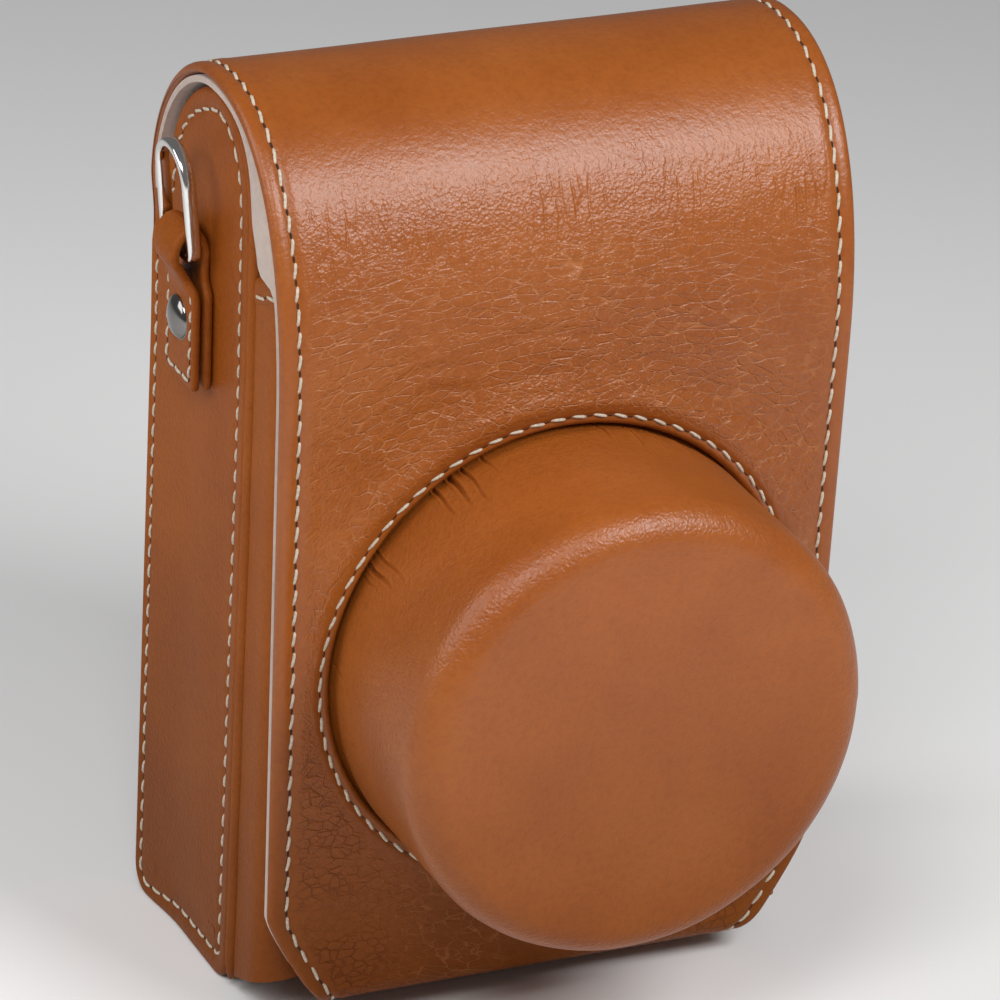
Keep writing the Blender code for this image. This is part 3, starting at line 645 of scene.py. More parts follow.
def cover_outline():
    """The cover's outer side profile from the back's foot, over the crown, to the split seam."""
    steps = np.linspace(0.0, math.pi / 2, 90)
    back = [(BACK, z) for z in np.linspace(0.0, HINGE, 60)]
    rear = [(CROWN_Y + (BACK - CROWN_Y) * math.cos(t) ** (2 / 1.9),
             HINGE + (CROWN - HINGE) * math.sin(t) ** (2 / 1.9)) for t in steps[1:-1]]
    front = [(CROWN_Y + (FRONT - CROWN_Y) * math.sin(t) ** (2 / 2.3),
              ARCH_FRONT + (CROWN - ARCH_FRONT) * max(math.cos(t), 0.0) ** (2 / 2.3)) for t in steps]
    down = [(FRONT, z) for z in np.linspace(ARCH_FRONT, SEAM_Z, 60)[1:]]
    return np.array(back + rear + front + down)


def tab_outline():
    """The cover's profile from the split seam round the fold to the tab's free end."""
    down = [(FRONT, z) for z in np.linspace(SEAM_Z, FOLD_Z, 8)]
    bend = [(FRONT + FOLD_RADIUS * (1 - math.cos(t)), FOLD_Z - FOLD_RADIUS * math.sin(t))
            for t in np.linspace(0.0, FOLD_END, 24)[1:]]
    root = np.array(bend[-1])
    slope = np.array([math.sin(FOLD_END), -math.cos(FOLD_END)])
    run = [tuple(root + slope * t) for t in np.linspace(0.0, TAB_LENGTH, 30)[1:]]
    return np.array(down + bend + run)


def with_normals(outline, stations):
    """Rows of a profile at stated distances: points and unit normals, pointing outwards."""
    rows, _ = resample(outline, stations=stations)
    before, _ = resample(outline, stations=np.maximum(np.asarray(stations) - 0.4, 0.0))
    after, _ = resample(outline, stations=np.minimum(np.asarray(stations) + 0.4, length_of(outline)))
    return rows, turned(unit(after - before), -1.0)


def taper_half(z):
    """Half width of the front's lower end, as in the CAD model."""
    fall = np.clip((TAPER_START - z) / (TAPER_START - FOLD_Z + FOLD_RADIUS), 0.0, 1.0)
    return COVER_HALF - (COVER_HALF - TAPER_HALF) * fall ** TAPER_POWER


EDGE_STEPS = np.array([0.0, 0.1, 0.3, 0.6, 1.0, 1.5, 2.0, 2.3, 2.6, 2.9, 3.2, 3.7, 4.4, 5.2])


def across(half, fine, steps=EDGE_STEPS):
    """Columns for each row's half width: packed near the edges and even between, -1 side first."""
    grid = []
    for h in half:
        inner, edges = h - steps[-1], h - steps[:-1]
        grid.append(np.concatenate([-edges, np.linspace(-inner, inner, fine), edges[::-1]]))
    return np.stack(grid)


def crease_level(x, z):
    """A height whose level lines are the way the front creases: round the cup, flatter above it."""
    above = np.clip((z - CUP_Z) / 70.0, 0.0, 1.0)
    return np.hypot(x * (1.0 - 0.55 * above), z - CUP_Z)


def front_relief(x, z):
    """Outward swelling and creases of the front leather round the lens cup."""
    radius = np.hypot(x, z - CUP_Z)
    angle = np.arctan2(z - CUP_Z, x)
    left = smooth(-0.1, 0.9, np.cos(angle - math.radians(130)))
    points = np.stack([x, z, np.zeros_like(x)], -1)
    wander = ripple(points, 14.0, 3.1)
    flow = np.stack([angle * 2.6, crease_level(x, z) / 3.0 + 1.6 * wander, np.zeros_like(x)], -1)
    ridge = 0.5 - np.abs(ripple(flow, 1.0, 5.7)) * 2.0
    near = smooth(37.0, 39.5, radius) * (1.0 - smooth(44.0, 70.0, radius))
    upper = smooth(-0.6, 0.6, np.sin(angle))
    creases = 0.24 * near * (0.15 + 0.85 * left) * (0.3 + 0.7 * upper) * ridge
    return cup_swell(angle, radius) + creases + 0.35 * ripple(points, 26.0, 9.2)


def cup_swell(angle, radius):
    """The soft mound that the leather makes above the cup's stitches."""
    return 1.5 * smooth(-0.5, 0.9, np.sin(angle)) * np.exp(-((radius - 37.4) / 3.8) ** 2)


def work_attributes(made):
    """Coordinates along the creases, how creased, furrowed and pebbled each point is, and where the lower
    corner's wrinkles and their painted shade lie.
    """
    mesh = made.data
    co = np.zeros(len(mesh.vertices) * 3)
    mesh.vertices.foreach_get("co", co)
    x, y, z = co.reshape(-1, 3).T / MM
    radius = np.hypot(x, z - CUP_Z)
    turn = np.mod(np.arctan2(z - CUP_Z, x) + math.pi / 2, 2 * math.pi)
    flow = np.stack([turn * 38.0 * 0.11, crease_level(x, z) * 0.55, y * 0.2], 1)
    front = smooth(CROWN_Y - 8.0, FRONT + 8.0, y)
    edge = smooth(2.8, 5.0, widened(taper_half(z), z) - np.abs(x)) * smooth(36.5, 38.0, radius)
    points = np.stack([x, y, z], 1)
    uneven = ripple(points, 9.0, 1.3)
    below = 1.0 - smooth(108.0, 121.0, z + 5.0 * uneven)
    patchy = 0.55 + 0.9 * ripple(points, 17.0, 7.7)
    near = 1.0 - smooth(38.0, 60.0, radius)
    corner = smooth(70.0, 35.0, z + 6.0 * uneven) * smooth(14.0, 30.0, np.abs(x))
    # Where the lower corner's net of wrinkles lies; the material paints shade along its folds.
    wrinkle_and_shade = front * edge * corner * np.clip(0.9 + 0.9 * uneven, 0.15, 1.0)
    split = smooth(0.03, 0.25, np.minimum(turn, 2 * math.pi - turn))
    crease = split * front * edge * below * (1.0 - corner) * np.clip(patchy + 0.3 + 0.3 * near, 0.35, 1.1)
    bend = smooth(106.0, 116.0, z) * (1.0 - smooth(121.0, 127.0, z + 3.0 * uneven))
    furrow = front * edge * bend * np.clip(0.6 + 1.2 * uneven, 0.1, 1.0)
    pebbled = 0.25 + 0.75 * front * edge * (1.0 - smooth(119.0, 129.0, z + 4.0 * uneven))
    work = np.stack([crease, furrow, pebbled], 1)
    for name, values in (("flow", flow), ("work", work)):
        mesh.attributes.new(name, "FLOAT_VECTOR", "POINT").data.foreach_set("vector", values.ravel())
    mesh.attributes.new("wrinkle_and_shade", "FLOAT", "POINT").data.foreach_set("value", wrinkle_and_shade)


def cover_half(rows):
    """The cover's half width: full over the flap, flush with the gussets down the back."""
    full = np.where(rows[:, 0] < CROWN_Y, taper_half(rows[:, 1]), COVER_HALF)
    return full - 0.5 * smooth(HINGE + 2.0, HINGE - 6.0, rows[:, 1]) * (rows[:, 0] > CROWN_Y)


def cover_stations(total):
    """Distances of the cover's rows: packed at its lower end, then finer down the front."""
    back = np.arange(EDGE_STEPS[-1] + 2.0, 95.0, 3.0)
    hinge = np.arange(back[-1] + 1.6, 150.0, 1.1)
    front = np.linspace(hinge[-1] + 0.8, total, int((total - hinge[-1]) / 0.6))
    return np.concatenate([EDGE_STEPS, back, hinge, front])


def seam_groove(edge):
    """How deep the leather is drawn in along the cover's stitches, and the swell inside them."""
    return 0.28 * np.exp(-((edge - INSET) / 0.42) ** 2) - 0.10 * np.exp(-((edge - 4.1) / 0.6) ** 2)


def build_cover():
    """Leather from the back's foot over the hinge and down the front, with the hole for the cup."""
    outline = cover_outline()
    stations = cover_stations(length_of(outline))
    rows, normals = with_normals(outline, stations)
    half = cover_half(rows)
    corner = 2.5
    half = half - corner + np.sqrt(corner ** 2 - np.clip(corner - stations, 0.0, corner) ** 2)
    x = across(half, 100)
    wide, y, z, placed = sheet(rows, normals, x)
    edge = np.minimum(half[:, None] - np.abs(x), stations[:, None])
    front = (y < CROWN_Y) & (z < 118.0)
    relief = np.zeros_like(x)
    fade = smooth(118.0, 104.0, z) * smooth(SEAM_Z, SEAM_Z + 5.0, z) * smooth(2.6, 7.0, edge)
    relief[front] = (front_relief(x, z) * fade)[front]
    soft = 0.22 * ripple(np.stack([x, y, z], -1), 30.0, 4.4) * smooth(1.0, 9.0, edge)
    relief += soft * np.where(front, 0.0, 1.0) * smooth(SEAM_Z, SEAM_Z + 5.0, z)
    thick = LEATHER + 0.3 * (1.0 - smooth(3.4, 4.6, edge))
    round_off = rounding(edge, 1.1)
    top_depth = round_off + seam_groove(edge) - relief
    top, bottom = placed(top_depth), placed(np.maximum(thick - round_off, top_depth))
    on_front = (y[:-1, :-1] < CROWN_Y) & (middles(z) < 100.0)
    keep = ~((np.hypot(middles(wide), middles(z) - CUP_Z) < CUP_RING) & on_front)
    boundary = hole_edge(keep)
    angle = np.arctan2(z - CUP_Z, wide)
    snap((top, bottom), boundary, angle, CUP_RING)
    lifted = -cup_swell(angle[boundary], CUP_RING)
    top[boundary, 1] = FRONT + lifted
    bottom[boundary, 1] = FRONT + 1.4 + lifted

    def place(flat, radius, outer):
        turn = np.arctan2(flat[:, 2] - CUP_Z, flat[:, 0])
        drop = rounding(radius - HOLE, 0.7) + 0.22 * math.exp(-((radius - CUP_SEAM) / 0.4) ** 2)
        depth = drop if outer else 1.4 - rounding(radius - HOLE, 0.7)
        return np.stack([radius * np.cos(turn), FRONT + depth - cup_swell(turn, radius),
                         CUP_Z + radius * np.sin(turn)], 1)

    radii = [36.6, 36.3, 36.0, CUP_SEAM, 35.5, 35.2, 34.95, 34.7, 34.5, 34.35, 34.28, HOLE]
    made = skin("cover", top, bottom, COVER, keep, joined(x.shape, first=True),
                (boundary.reshape(-1), radii, place))
    work_attributes(made)
    return made


def seam_line(outline, stations, inset_half, sign):
    """A stitch line along one edge of the cover: points and normals."""
    rows, normals = with_normals(outline, stations)
    points = upright(sign * widened(inset_half, rows[:, 1]), rows - normals * SEAM_DEPTH)
    return points, upright(0.0, normals)


def build_cover_stitches():
    """The seams down both edges of the cover, and the ring of stitches round the cup."""
    outline = cover_outline()
    stations = np.arange(INSET, length_of(outline), 0.6)
    rows, _ = with_normals(outline, stations)
    half = cover_half(rows) - INSET
    made = [stitches(hand + "_cover_stitches", *seam_line(outline, stations, half, sign))
            for sign, hand in HANDS]
    turn = np.linspace(0.0, 2 * math.pi, 220, endpoint=False)
    points = np.stack([CUP_SEAM * np.cos(turn), FRONT + SEAM_DEPTH - cup_swell(turn, CUP_SEAM),
                       CUP_Z + CUP_SEAM * np.sin(turn)], 1)
    normals = np.tile([0.0, -1.0, 0.0], (len(turn), 1))
    return made, stitches("cup_ring_stitches", points, normals, closed=True)


def lining_outline():
    """The suede's profile: behind the back board, then over the hinge and down the front."""
    outline = cover_outline()
    total = length_of(outline)
    stations = np.linspace(7.0, total, 700)
    rows, normals = with_normals(outline, stations)
    depth = 1.75 + 1.5 * smooth(HINGE + 4.0, HINGE - 8.0, rows[:, 1]) * (rows[:, 0] > CROWN_Y)
    return rows - normals * depth[:, None]


def build_cover_lining():
    """Suede lining of the back and the flap in one sheet, with the hole for the cup's lining."""
    outline = lining_outline()
    total = length_of(outline)
    stations = np.concatenate([[0.0, 0.35, 0.8], np.arange(2.0, total - 1.0, 1.5), [total]])
    rows, normals = with_normals(outline, stations)
    on_back = (rows[:, 0] > CROWN_Y) & (rows[:, 1] < HINGE - 1.0)
    flap_half = np.where(rows[:, 0] < CROWN_Y, taper_half(rows[:, 1]), COVER_HALF) - 0.05
    half = np.where(on_back, 39.8, flap_half)
    x = across(half, 56, np.array([0.0, 0.2, 0.7, 1.5]))
    wide, y, z, placed = sheet(rows, normals, x)
    edge = half[:, None] - np.abs(x)
    wave = 0.08 * ripple(np.stack([x, y, z], -1), 12.0, 8.8) * smooth(0.5, 3.0, edge)
    padding = 5.0 * smooth(112.3, 115.5, z) * smooth(134.0, 121.0, z) * smooth(33.0, 39.0, np.abs(x))
    wave = wave + np.where(y < CROWN_Y, padding, 0.0)
    round_off = rounding(edge, 0.4)
    top, bottom = placed(round_off), placed(1.0 - round_off + wave)
    hole = 31.7
    in_hole = np.hypot(middles(wide), middles(z) - CUP_Z) < hole
    keep = ~(in_hole & (y[:-1, :-1] < CROWN_Y - 10.0))
    snap((top, bottom), hole_edge(keep), np.arctan2(z - CUP_Z, wide), hole)
    return skin("cover_lining", top, bottom, SUEDE, keep, joined(x.shape))


def build_tab(name, depth, thick, trim, material, rows_step):
    """One layer of the fold and the tab under it, joined to the front at the split seam."""
    outline = tab_outline()
    total = length_of(outline)
    end = total - EDGE_STEPS[::-1]
    stations = np.concatenate([np.arange(0.0, end[0] - rows_step, rows_step), end])
    rows, normals = with_normals(outline, stations)
    root = float(taper_half(outline[-30][1]))
    share = np.clip((stations - (total - TAB_LENGTH)) / TAB_LENGTH, 0.0, 1.0)
    left = np.clip(TAB_ROUND - (total - stations), 0.0, TAB_ROUND)
    straight = np.where(share > 0, root + (TAB_HALF - root) * share, taper_half(rows[:, 1]))
    half = straight - trim - (TAB_ROUND - np.sqrt(np.maximum(TAB_ROUND ** 2 - left ** 2, 0.0)))
    x = across(half, 70)
    wide, y, z, placed = sheet(rows, normals, x)
    edge = np.minimum(half[:, None] - np.abs(x), (total - stations)[:, None])
    if depth == 0.0:
        round_off = rounding(edge, 1.1)
        top_depth = round_off + seam_groove(edge)
        bottom_depth = thick + 0.8 * (1.0 - smooth(3.4, 4.6, edge)) - round_off
    else:
        round_off = rounding(edge, thick / 2)
        top_depth = depth + round_off
        bottom_depth = depth + thick - round_off
    made = skin(name, placed(top_depth), placed(bottom_depth), material, None,
                joined(x.shape, last=True))
    return made, outline, stations, half


# ---------------------------------------------------------------- the lens cup

def cup_place(radius, angle, height):
    """A point round the cup's axis; height runs out of the flap, towards the camera's front."""
    return (radius * math.cos(angle), FRONT - height, CUP_Z + radius * math.sin(angle))


PUCKERS = [(math.radians(a), d, w, l) for a, d, w, l in (
    (149.5, 0.75, 0.0065, 8.0), (146, 0.40, 0.0050, 11.0), (152.5, 0.30, 0.0050, 5.0),
    (126.5, 0.50, 0.0055, 9.0), (122, 0.80, 0.0070, 9.0), (118.5, 0.45, 0.0050, 12.0),
    (113, 0.25, 0.0050, 6.0), (83, 0.50, 0.0060, 6.0), (76, 0.45, 0.0050, 11.0),
    (70, 0.45, 0.0055, 9.0), (64, 0.40, 0.0050, 10.0), (57, 0.30, 0.0050, 7.0),
    (176, 0.30, 0.0060, 5.0), (36, 0.30, 0.0060, 5.0))]


def cup_angles():
    """Directions round the cup, close together where the leather is puckered."""
    near = [at + w * np.linspace(-4.0, 4.0, 25) for at, _, w, _ in PUCKERS]
    return np.unique(np.round(np.concatenate([np.linspace(0.0, 2 * math.pi, 420)[:-1], *near]), 4))


def build_cup():
    """Moulded leather cup: soft rim, gathered into small puckers where it leaves the flap."""
    reach = FRONT - CUP_FACE
    edge = 5.2
    outer = [(r, reach + 0.25 * math.cos(r / 29.0 * math.pi / 2)) for r in np.linspace(0.0, 28.0, 26)]
    rim = arc((CUP_RADIUS - edge, reach - edge), edge, 88, 2, 16)
    wall = [(CUP_RADIUS, h) for h in np.linspace(reach - edge - 1.2, -0.3, 34)]
    inner = [(CUP_RADIUS - 0.2, -1.0), (CUP_RADIUS + 0.2, -1.5), (CUP_RADIUS + 4.3, -1.55),
             (CUP_RADIUS + 4.3, -2.1), (CUP_RADIUS - LEATHER, -2.1),
             (CUP_RADIUS - LEATHER, reach - edge)]
    inner_rim = arc((CUP_RADIUS - edge, reach - edge), edge - LEATHER, 0, 90, 6)
    profile = [*outer, *rim, *wall, *inner, *inner_rim[1:], (0.0, reach - LEATHER)]
    last_outer = len(outer) + len(rim) + len(wall)

    def relief(k, radius, angle, height):
        if k >= last_outer:
            return radius, height
        if k < len(outer):
            lift = 0.06 * noise.noise(Vector((radius * math.cos(angle), radius * math.sin(angle), 0)) / 9)
            return radius, height + lift
        sink = 0.0
        for at, depth, width, run in PUCKERS:
            away = angle - at + 0.004 * math.sin(height * 0.6 + at * 9) * max(height, 0.0) / 3.0
            if abs(away) < 5 * width:
                fade = max(0.0, 1.0 - max(height, 0.0) / run)
                sink += depth * fade ** 0.8 * (math.exp(-(away / width) ** 2)
                                               - 0.25 * math.exp(-((abs(away) - 2.4 * width) / width) ** 2))
        soft = 0.12 * noise.noise(Vector((angle * 4.0, height / 8.0, 2.2)))
        tuck = 0.5 * float(smooth(2.5, -0.3, height))
        return radius - sink + soft - tuck, height

    return revolve("lens_cup", profile, cup_place, MOULDED, cup_angles(), relief)


def build_cup_lining():
    """Suede inside the cup."""
    reach = FRONT - CUP_FACE - 2.6
    outer, thick, edge = 31.4, 0.7, 2.65
    rear = -3.05
    corner = (outer - edge, reach - edge)
    depths = np.linspace(reach - edge - 3, rear, 8)
    profile = [(0.0, reach), *((r, reach) for r in np.linspace(6, 27, 5)),
               *arc(corner, edge, 90, 0, 6), *((outer, h) for h in depths),
               *((outer - thick, h) for h in depths[::-1]), *arc(corner, edge - thick, 0, 90, 6),
               *((r, reach - thick) for r in np.linspace(26, 6, 5)), (0.0, reach - thick)]

    def relief(k, radius, angle, height):
        bump = 0.05 * noise.noise(Vector((radius * math.cos(angle), radius * math.sin(angle), height)) / 6)
        bump = bump if k > 18 else 0.0
        return radius + bump, height + bump

    return revolve("cup_suede", profile, cup_place, SUEDE, 120, relief)


# ---------------------------------------------------------------- side panels

def gusset_outline():
    """The gusset's edge in (y, z), anticlockwise from its lower front corner."""
    cover = cover_outline()
    arch = cover[(cover[:, 0] > GUSSET_CROWN_Y) & (cover[:, 1] > HINGE)]
    rear = arch + turned(headings(arch)) * 3.4
    crown = rear[-1, 1]
    reach = GUSSET_CROWN_Y - GUSSET_FRONT
    turn = np.linspace(0.0, math.pi / 2, 40)[1:]
    front = [(GUSSET_CROWN_Y - reach * math.sin(t) ** (2 / 2.2),
              GUSSET_ARCH + (crown - GUSSET_ARCH) * max(math.cos(t), 0.0) ** (2 / 2.2)) for t in turn]
    low_front = arc((GUSSET_FRONT + GUSSET_CORNER, GUSSET_CORNER), GUSSET_CORNER, 180, 270, 12)
    low_back = arc((GUSSET_REACH - GUSSET_CORNER, GUSSET_CORNER), GUSSET_CORNER, 270, 360, 12)
    upper = [(GUSSET_REACH, HINGE - 8.0), (GUSSET_BACK, HINGE - 1.5)]
    return np.concatenate([low_front, low_back, upper, rear, front])


def closed_loop(loop, spacing):
    """A closed loop resampled at a spacing, without its last point repeated."""
    return resample(np.vstack([loop, loop[:1]]), spacing=spacing)[0][:-1]


def seam_inset(ring):
    """How far a gusset's seam runs from its edge: closer along the back."""
    return 3.2 - 1.3 * smooth(GUSSET_BACK - 16.0, GUSSET_BACK - 2.5, ring[:, 0])


def offset_loop(loop, distance):
    """A closed anticlockwise loop moved inwards."""
    along = unit(np.roll(loop, -1, 0) - np.roll(loop, 1, 0))
    return loop + turned(along) * np.reshape(distance, (-1, 1))


def fill_points(loop):
    """A loop and a grid of points inside it, triangulated."""
    low, high = loop.min(0), loop.max(0)
    grid = [Vector((y, z)) for y in np.arange(low[0] + 2.0, high[0], 2.0)
            for z in np.arange(low[1] + 2.0, high[1], 2.0)
            if np.min(np.hypot(loop[:, 0] - y, loop[:, 1] - z)) > 1.2]
    edge = [Vector(p) for p in loop]
    border = [(k, (k + 1) % len(edge)) for k in range(len(edge))]
    points, _, faces, _, _, _ = geometry.delaunay_2d_cdt(edge + grid, border, [], 1, 0.001)
    return np.array([tuple(p) for p in points]), faces


def panel(name, loop, steps, place, top_depth, bottom_depth, material):
    """A flat-built panel with a worked edge: rings in from its outline, then a filled middle."""
    ring_sets = [(offset_loop(loop, step), step) for step in steps]
    last = ring_sets[-1][0]
    inner, triangles = fill_points(last)
    away = np.min(np.hypot(inner[:, None, 0] - last[None, :, 0], inner[:, None, 1] - last[None, :, 1]), 1)
    count = len(loop)
    vertices, faces = [], []

    def laid(rings, depth):
        starts = []
        for ring, edge in rings:
            starts.append(len(vertices))
            vertices.extend(place(ring, depth(ring, edge)))
        return starts

    layers = laid(ring_sets, top_depth)
    lower = [layers[0]] + laid(ring_sets[1:], bottom_depth)
    for stack, flip in ((layers, False), (lower, True)):
        for one, two in zip(stack, stack[1:]):
            for j in range(count):
                m = (j + 1) % count
                quad = (one + j, one + m, two + m, two + j)
                faces.append(quad[::-1] if flip else quad)
    for stack, depth, flip in ((layers, top_depth, False), (lower, bottom_depth, True)):
        base = len(vertices)
        vertices.extend(place(inner, depth(inner, steps[-1] + away)))
        to_ring = {k: stack[-1] + k for k in range(count)}
        for triangle in triangles:
            corners = tuple(to_ring.get(v, base + v) for v in triangle)
            faces.append(corners[::-1] if flip else corners)
    return mesh_object(name, *compact(vertices, faces), material)


def build_gusset(side, hand):
    """Leather gusset with a rounded edge and its stitches."""
    loop = closed_loop(gusset_outline(), 0.9)

    def place(ring, depth):
        flare = 1.2 * smooth(GUSSET_REACH - 15.0, GUSSET_REACH - 1.0, ring[:, 0])
        flare = flare * smooth(HINGE, HINGE - 10.0, ring[:, 1]) + fuller(ring[:, 1])
        return upright(side * (widened(GUSSET_X, ring[:, 1]) + flare - depth), ring)

    def top(ring, edge):
        soft = 0.16 * ripple(upright(side * 5.0, ring), 22.0, 2.0) * smooth(1.0, 6.0, edge)
        near = seam_inset(ring)
        groove = 0.26 * np.exp(-((edge - near) / 0.45) ** 2)
        crowned = 0.35 * smooth(3.6, 14.0, edge) + 0.22 * smooth(near + 0.1, near - 1.8, edge)
        return rounding(edge, 0.85) + 0.2 + groove - crowned - soft

    def bottom(ring, edge):
        return np.full(len(ring), 1.55) - rounding(edge, 0.5)

    steps = [0.0, 0.1, 0.3, 0.6, 0.95, 1.3, 1.6, 1.9, 2.2, 2.6, 2.9, 3.2, 3.5, 3.9, 4.6, 5.6, 7.0]
    made = panel(hand + "_gusset_leather", loop, steps, place, top, bottom, SIDE)
    points = place(offset_loop(loop, seam_inset(loop)), 0.42)
    normals = np.tile([float(side), 0.0, 0.0], (len(points), 1))
    return made, stitches(hand + "_gusset_stitches", points, normals, closed=True)


def build_gusset_lining(side, hand):
    """Suede on the inside of a gusset."""
    low, high = box("left_gusset_lining")
    loop = closed_loop(np.clip(gusset_outline(), low[1:], high[1:]), 1.2)

    def place(ring, depth):
        return upright(side * (widened(GUSSET_X - LEATHER - 0.25, ring[:, 1]) - depth), ring)

    def outer(ring, edge):
        return np.zeros(len(ring)) + rounding(edge, 0.3)

    def inner(ring, edge):
        soft = 0.10 * ripple(upright(side * 9.0, ring), 10.0, 6.0) * smooth(0.5, 3.0, edge)
        return 0.7 - rounding(edge, 0.3) + soft

    return panel(hand + "_gusset_suede", loop, [0.0, 0.1, 0.3, 0.7, 1.4], place, outer, inner, SUEDE)


def build_piping(side, hand):
    """Rolled leather bead along the gusset's front edge, from its foot up round the arch."""
    outline = gusset_outline()
    foot = arc((GUSSET_FRONT + GUSSET_CORNER, GUSSET_CORNER), GUSSET_CORNER, 210, 180, 6)
    crown = outline[(outline[:, 0] < GUSSET_CROWN_Y - 8.0) & (outline[:, 1] > GUSSET_ARCH - 1.0)]
    straight = [(GUSSET_FRONT, z) for z in np.linspace(GUSSET_CORNER + 1.0, GUSSET_ARCH - 1.0, 60)]
    route = np.concatenate([foot, straight, crown[::-1]])
    route = route + turned(headings(route)) * 1.2
    route, _ = resample(route, spacing=1.2)
    points = upright(side * (widened(GUSSET_X - 0.76, route[:, 1]) + fuller(route[:, 1])), route)
    turn = np.linspace(0.0, 2 * math.pi, 16, endpoint=False)
    sections = []
    for place, direction in zip(points, headings(points)):
        one = unit(np.cross(direction, [1.0, 0.0, 0.0]))
        other = np.cross(direction, one)
        size = 1.12 * (1 + 0.10 * noise.noise(Vector(place) / 5.0 + Vector((side * 3.0, 0, 0))))
        sections.append([place + size * (math.cos(t) * one + math.sin(t) * other) for t in turn])
    sections = np.array(sections)
    ends = np.minimum(np.arange(len(sections)), np.arange(len(sections))[::-1])
    shrink = np.sqrt(np.clip(ends / 1.5, 0.12, 1.0))[:, None, None]
    centres = points[:, None, :]
    return tube(hand + "_edge_piping", centres + (sections - centres) * shrink, SIDE)


# ---------------------------------------------------------------- front wall

def wall_plan(inside):
    """The front wall's line seen from above, from the left gusset round to the right one."""
    half, front, radius = WALL_HALF - inside, WALL_Y + inside, WALL_CORNER - inside
    left = arc((-half + radius, front + radius), radius, 180, 270, 10)
    right = arc((half - radius, front + radius), radius, 270, 360, 10)
    return np.concatenate([[(-half, WALL_REAR)], left, right, [(half, WALL_REAR)]])


def wall_rise(y):
    """How much higher the wall's top stands on its side returns than across the front."""
    along = np.interp(y, [WALL_Y + 3.5, WALL_REAR], [4.2, 2.0])
    return along * smooth(WALL_Y + 0.2, WALL_Y + 2.2, y)


def build_front_wall(name, inside, thick, slot, low, high, material):
    """A layer of the front wall with the U-shaped lens slot."""
    plan, _ = resample(wall_plan(inside), spacing=1.1)
    normal = turned(headings(plan), -1.0)
    slope = (CHIN_TOP - BOTTOM) / (CHIN_Y - WALL_Y)
    foot = low + np.minimum(CHIN_TOP, BOTTOM + slope * np.clip(CHIN_Y - plan[:, 1], 0.0, 20.0))
    foot = foot - smooth(14.0, 40.5, np.abs(plan[:, 0])) * 3.8
    rows = 92
    share = np.linspace(0.0, 1.0, rows)
    z = foot[:, None] + (high + wall_rise(plan[:, 1:]) - foot[:, None]) * share[None, :]
    x = widened(np.repeat(plan[:, :1], rows, 1), z)
    y = np.repeat(plan[:, 1:], rows, 1)
    side_x = x + np.sign(plan[:, :1]) * smooth(33.0, 40.5, np.abs(plan[:, :1])) * 0.9 * fuller(z)

    def placed(depth):
        return np.stack([side_x - normal[:, :1] * depth, y - normal[:, 1:] * depth, z], -1)

    wave = 0.10 * ripple(np.stack([x, y, z], -1), 14.0, inside + 1.0)
    top, bottom = placed(-wave), placed(np.full_like(z, thick))
    round_part = np.hypot(middles(x), middles(z) - CUP_Z) < slot
    keep = ~(round_part | ((np.abs(middles(x)) < slot) & (middles(z) > CUP_Z)))
    boundary = hole_edge(keep)
    high_part = boundary & (z > CUP_Z)
    middle = placed(np.full_like(z, thick / 2))
    for grid in (top, bottom):
        grid[boundary] = middle[boundary]
        grid[high_part, 0] = slot * np.sign(x[high_part])
    snap((top, bottom), boundary & (z <= CUP_Z), np.arctan2(z - CUP_Z, x), slot)
    return skin(name, top, bottom, material, keep, boundary.copy())


def build_binding(side, hand):
    """Folded strip over the wall's top edge with its row of stitches."""
    plan = wall_plan(0.0)
    end = np.array([[side * (SLOT + 0.3), WALL_Y]])
    plan = plan[plan[:, 0] * side > SLOT]
    plan = np.concatenate([plan, end] if side < 0 else [end, plan])
    plan, _ = resample(plan, spacing=0.8)
    normal = turned(headings(plan), -1.0)
    height, thick = 4.3, 2.3
    middle_z = BINDING_TOP + 0.2 - height / 2
    section = rounded_section(thick / 2 + 0.12, height / 2, 0.5, 0.55, 26)
    sections = []
    for place, out in zip(plan, normal):
        flat = place - out * (thick / 2 - 0.12)
        ring = []
        for a, b in section:
            uneven = 0.06 * noise.noise(Vector((place[0], place[1], b)) / 3)
            z = middle_z + wall_rise(place[1]) + b + uneven
            ring.append((widened(flat[0], z) + out[0] * a, flat[1] + out[1] * a, z))
        sections.append(ring)
    made = tube(hand + "_binding", sections, SIDE)
    seam_z = BINDING_TOP - 2.7 + wall_rise(plan[:, 1])
    flat = np.stack([widened(plan[:, 0], seam_z), plan[:, 1]], 1) + normal * 0.20
    normals = np.column_stack([normal, np.zeros(len(plan))])
    thread = stitches(hand + "_binding_stitches", np.column_stack([flat, seam_z]), normals, pitch=3.6)
    return made, thread


# ---------------------------------------------------------------- strap tabs, rings, rivets

def strap_path():
    """Mid-line of the strap: up the gusset, round the ring's bar and down outside, in (out, z)."""
    base_z = RING_AXIS[2]
    up = [(0.72, z) for z in np.linspace(STRAP_LOW, base_z - 3.0, 16)]
    up += [(0.70, base_z - 1.0)]
    turn = np.radians(np.linspace(172, -48, 27))
    tall = 2.25 + 1.5 * np.clip(np.sin(turn), 0, 1)
    loop = np.stack([2.9 + 2.35 * np.cos(turn), base_z + tall * np.sin(turn)], 1)
    pinch = [(3.6, base_z - 3.2), (2.85, base_z - 4.6), (2.52, base_z - 6.0)]
    down = [(2.5, z) for z in np.linspace(base_z - 7.5, STRAP_LOW, 14)]
    points = np.concatenate([up, loop, pinch, down])
    for _ in range(2):
        inner = np.stack([0.75 * points[:-1] + 0.25 * points[1:], 0.25 * points[:-1] + 0.75 * points[1:]],
                         1).reshape(-1, 2)
        points = np.concatenate([points[:1], inner[1:-1], points[-1:]])
    return points


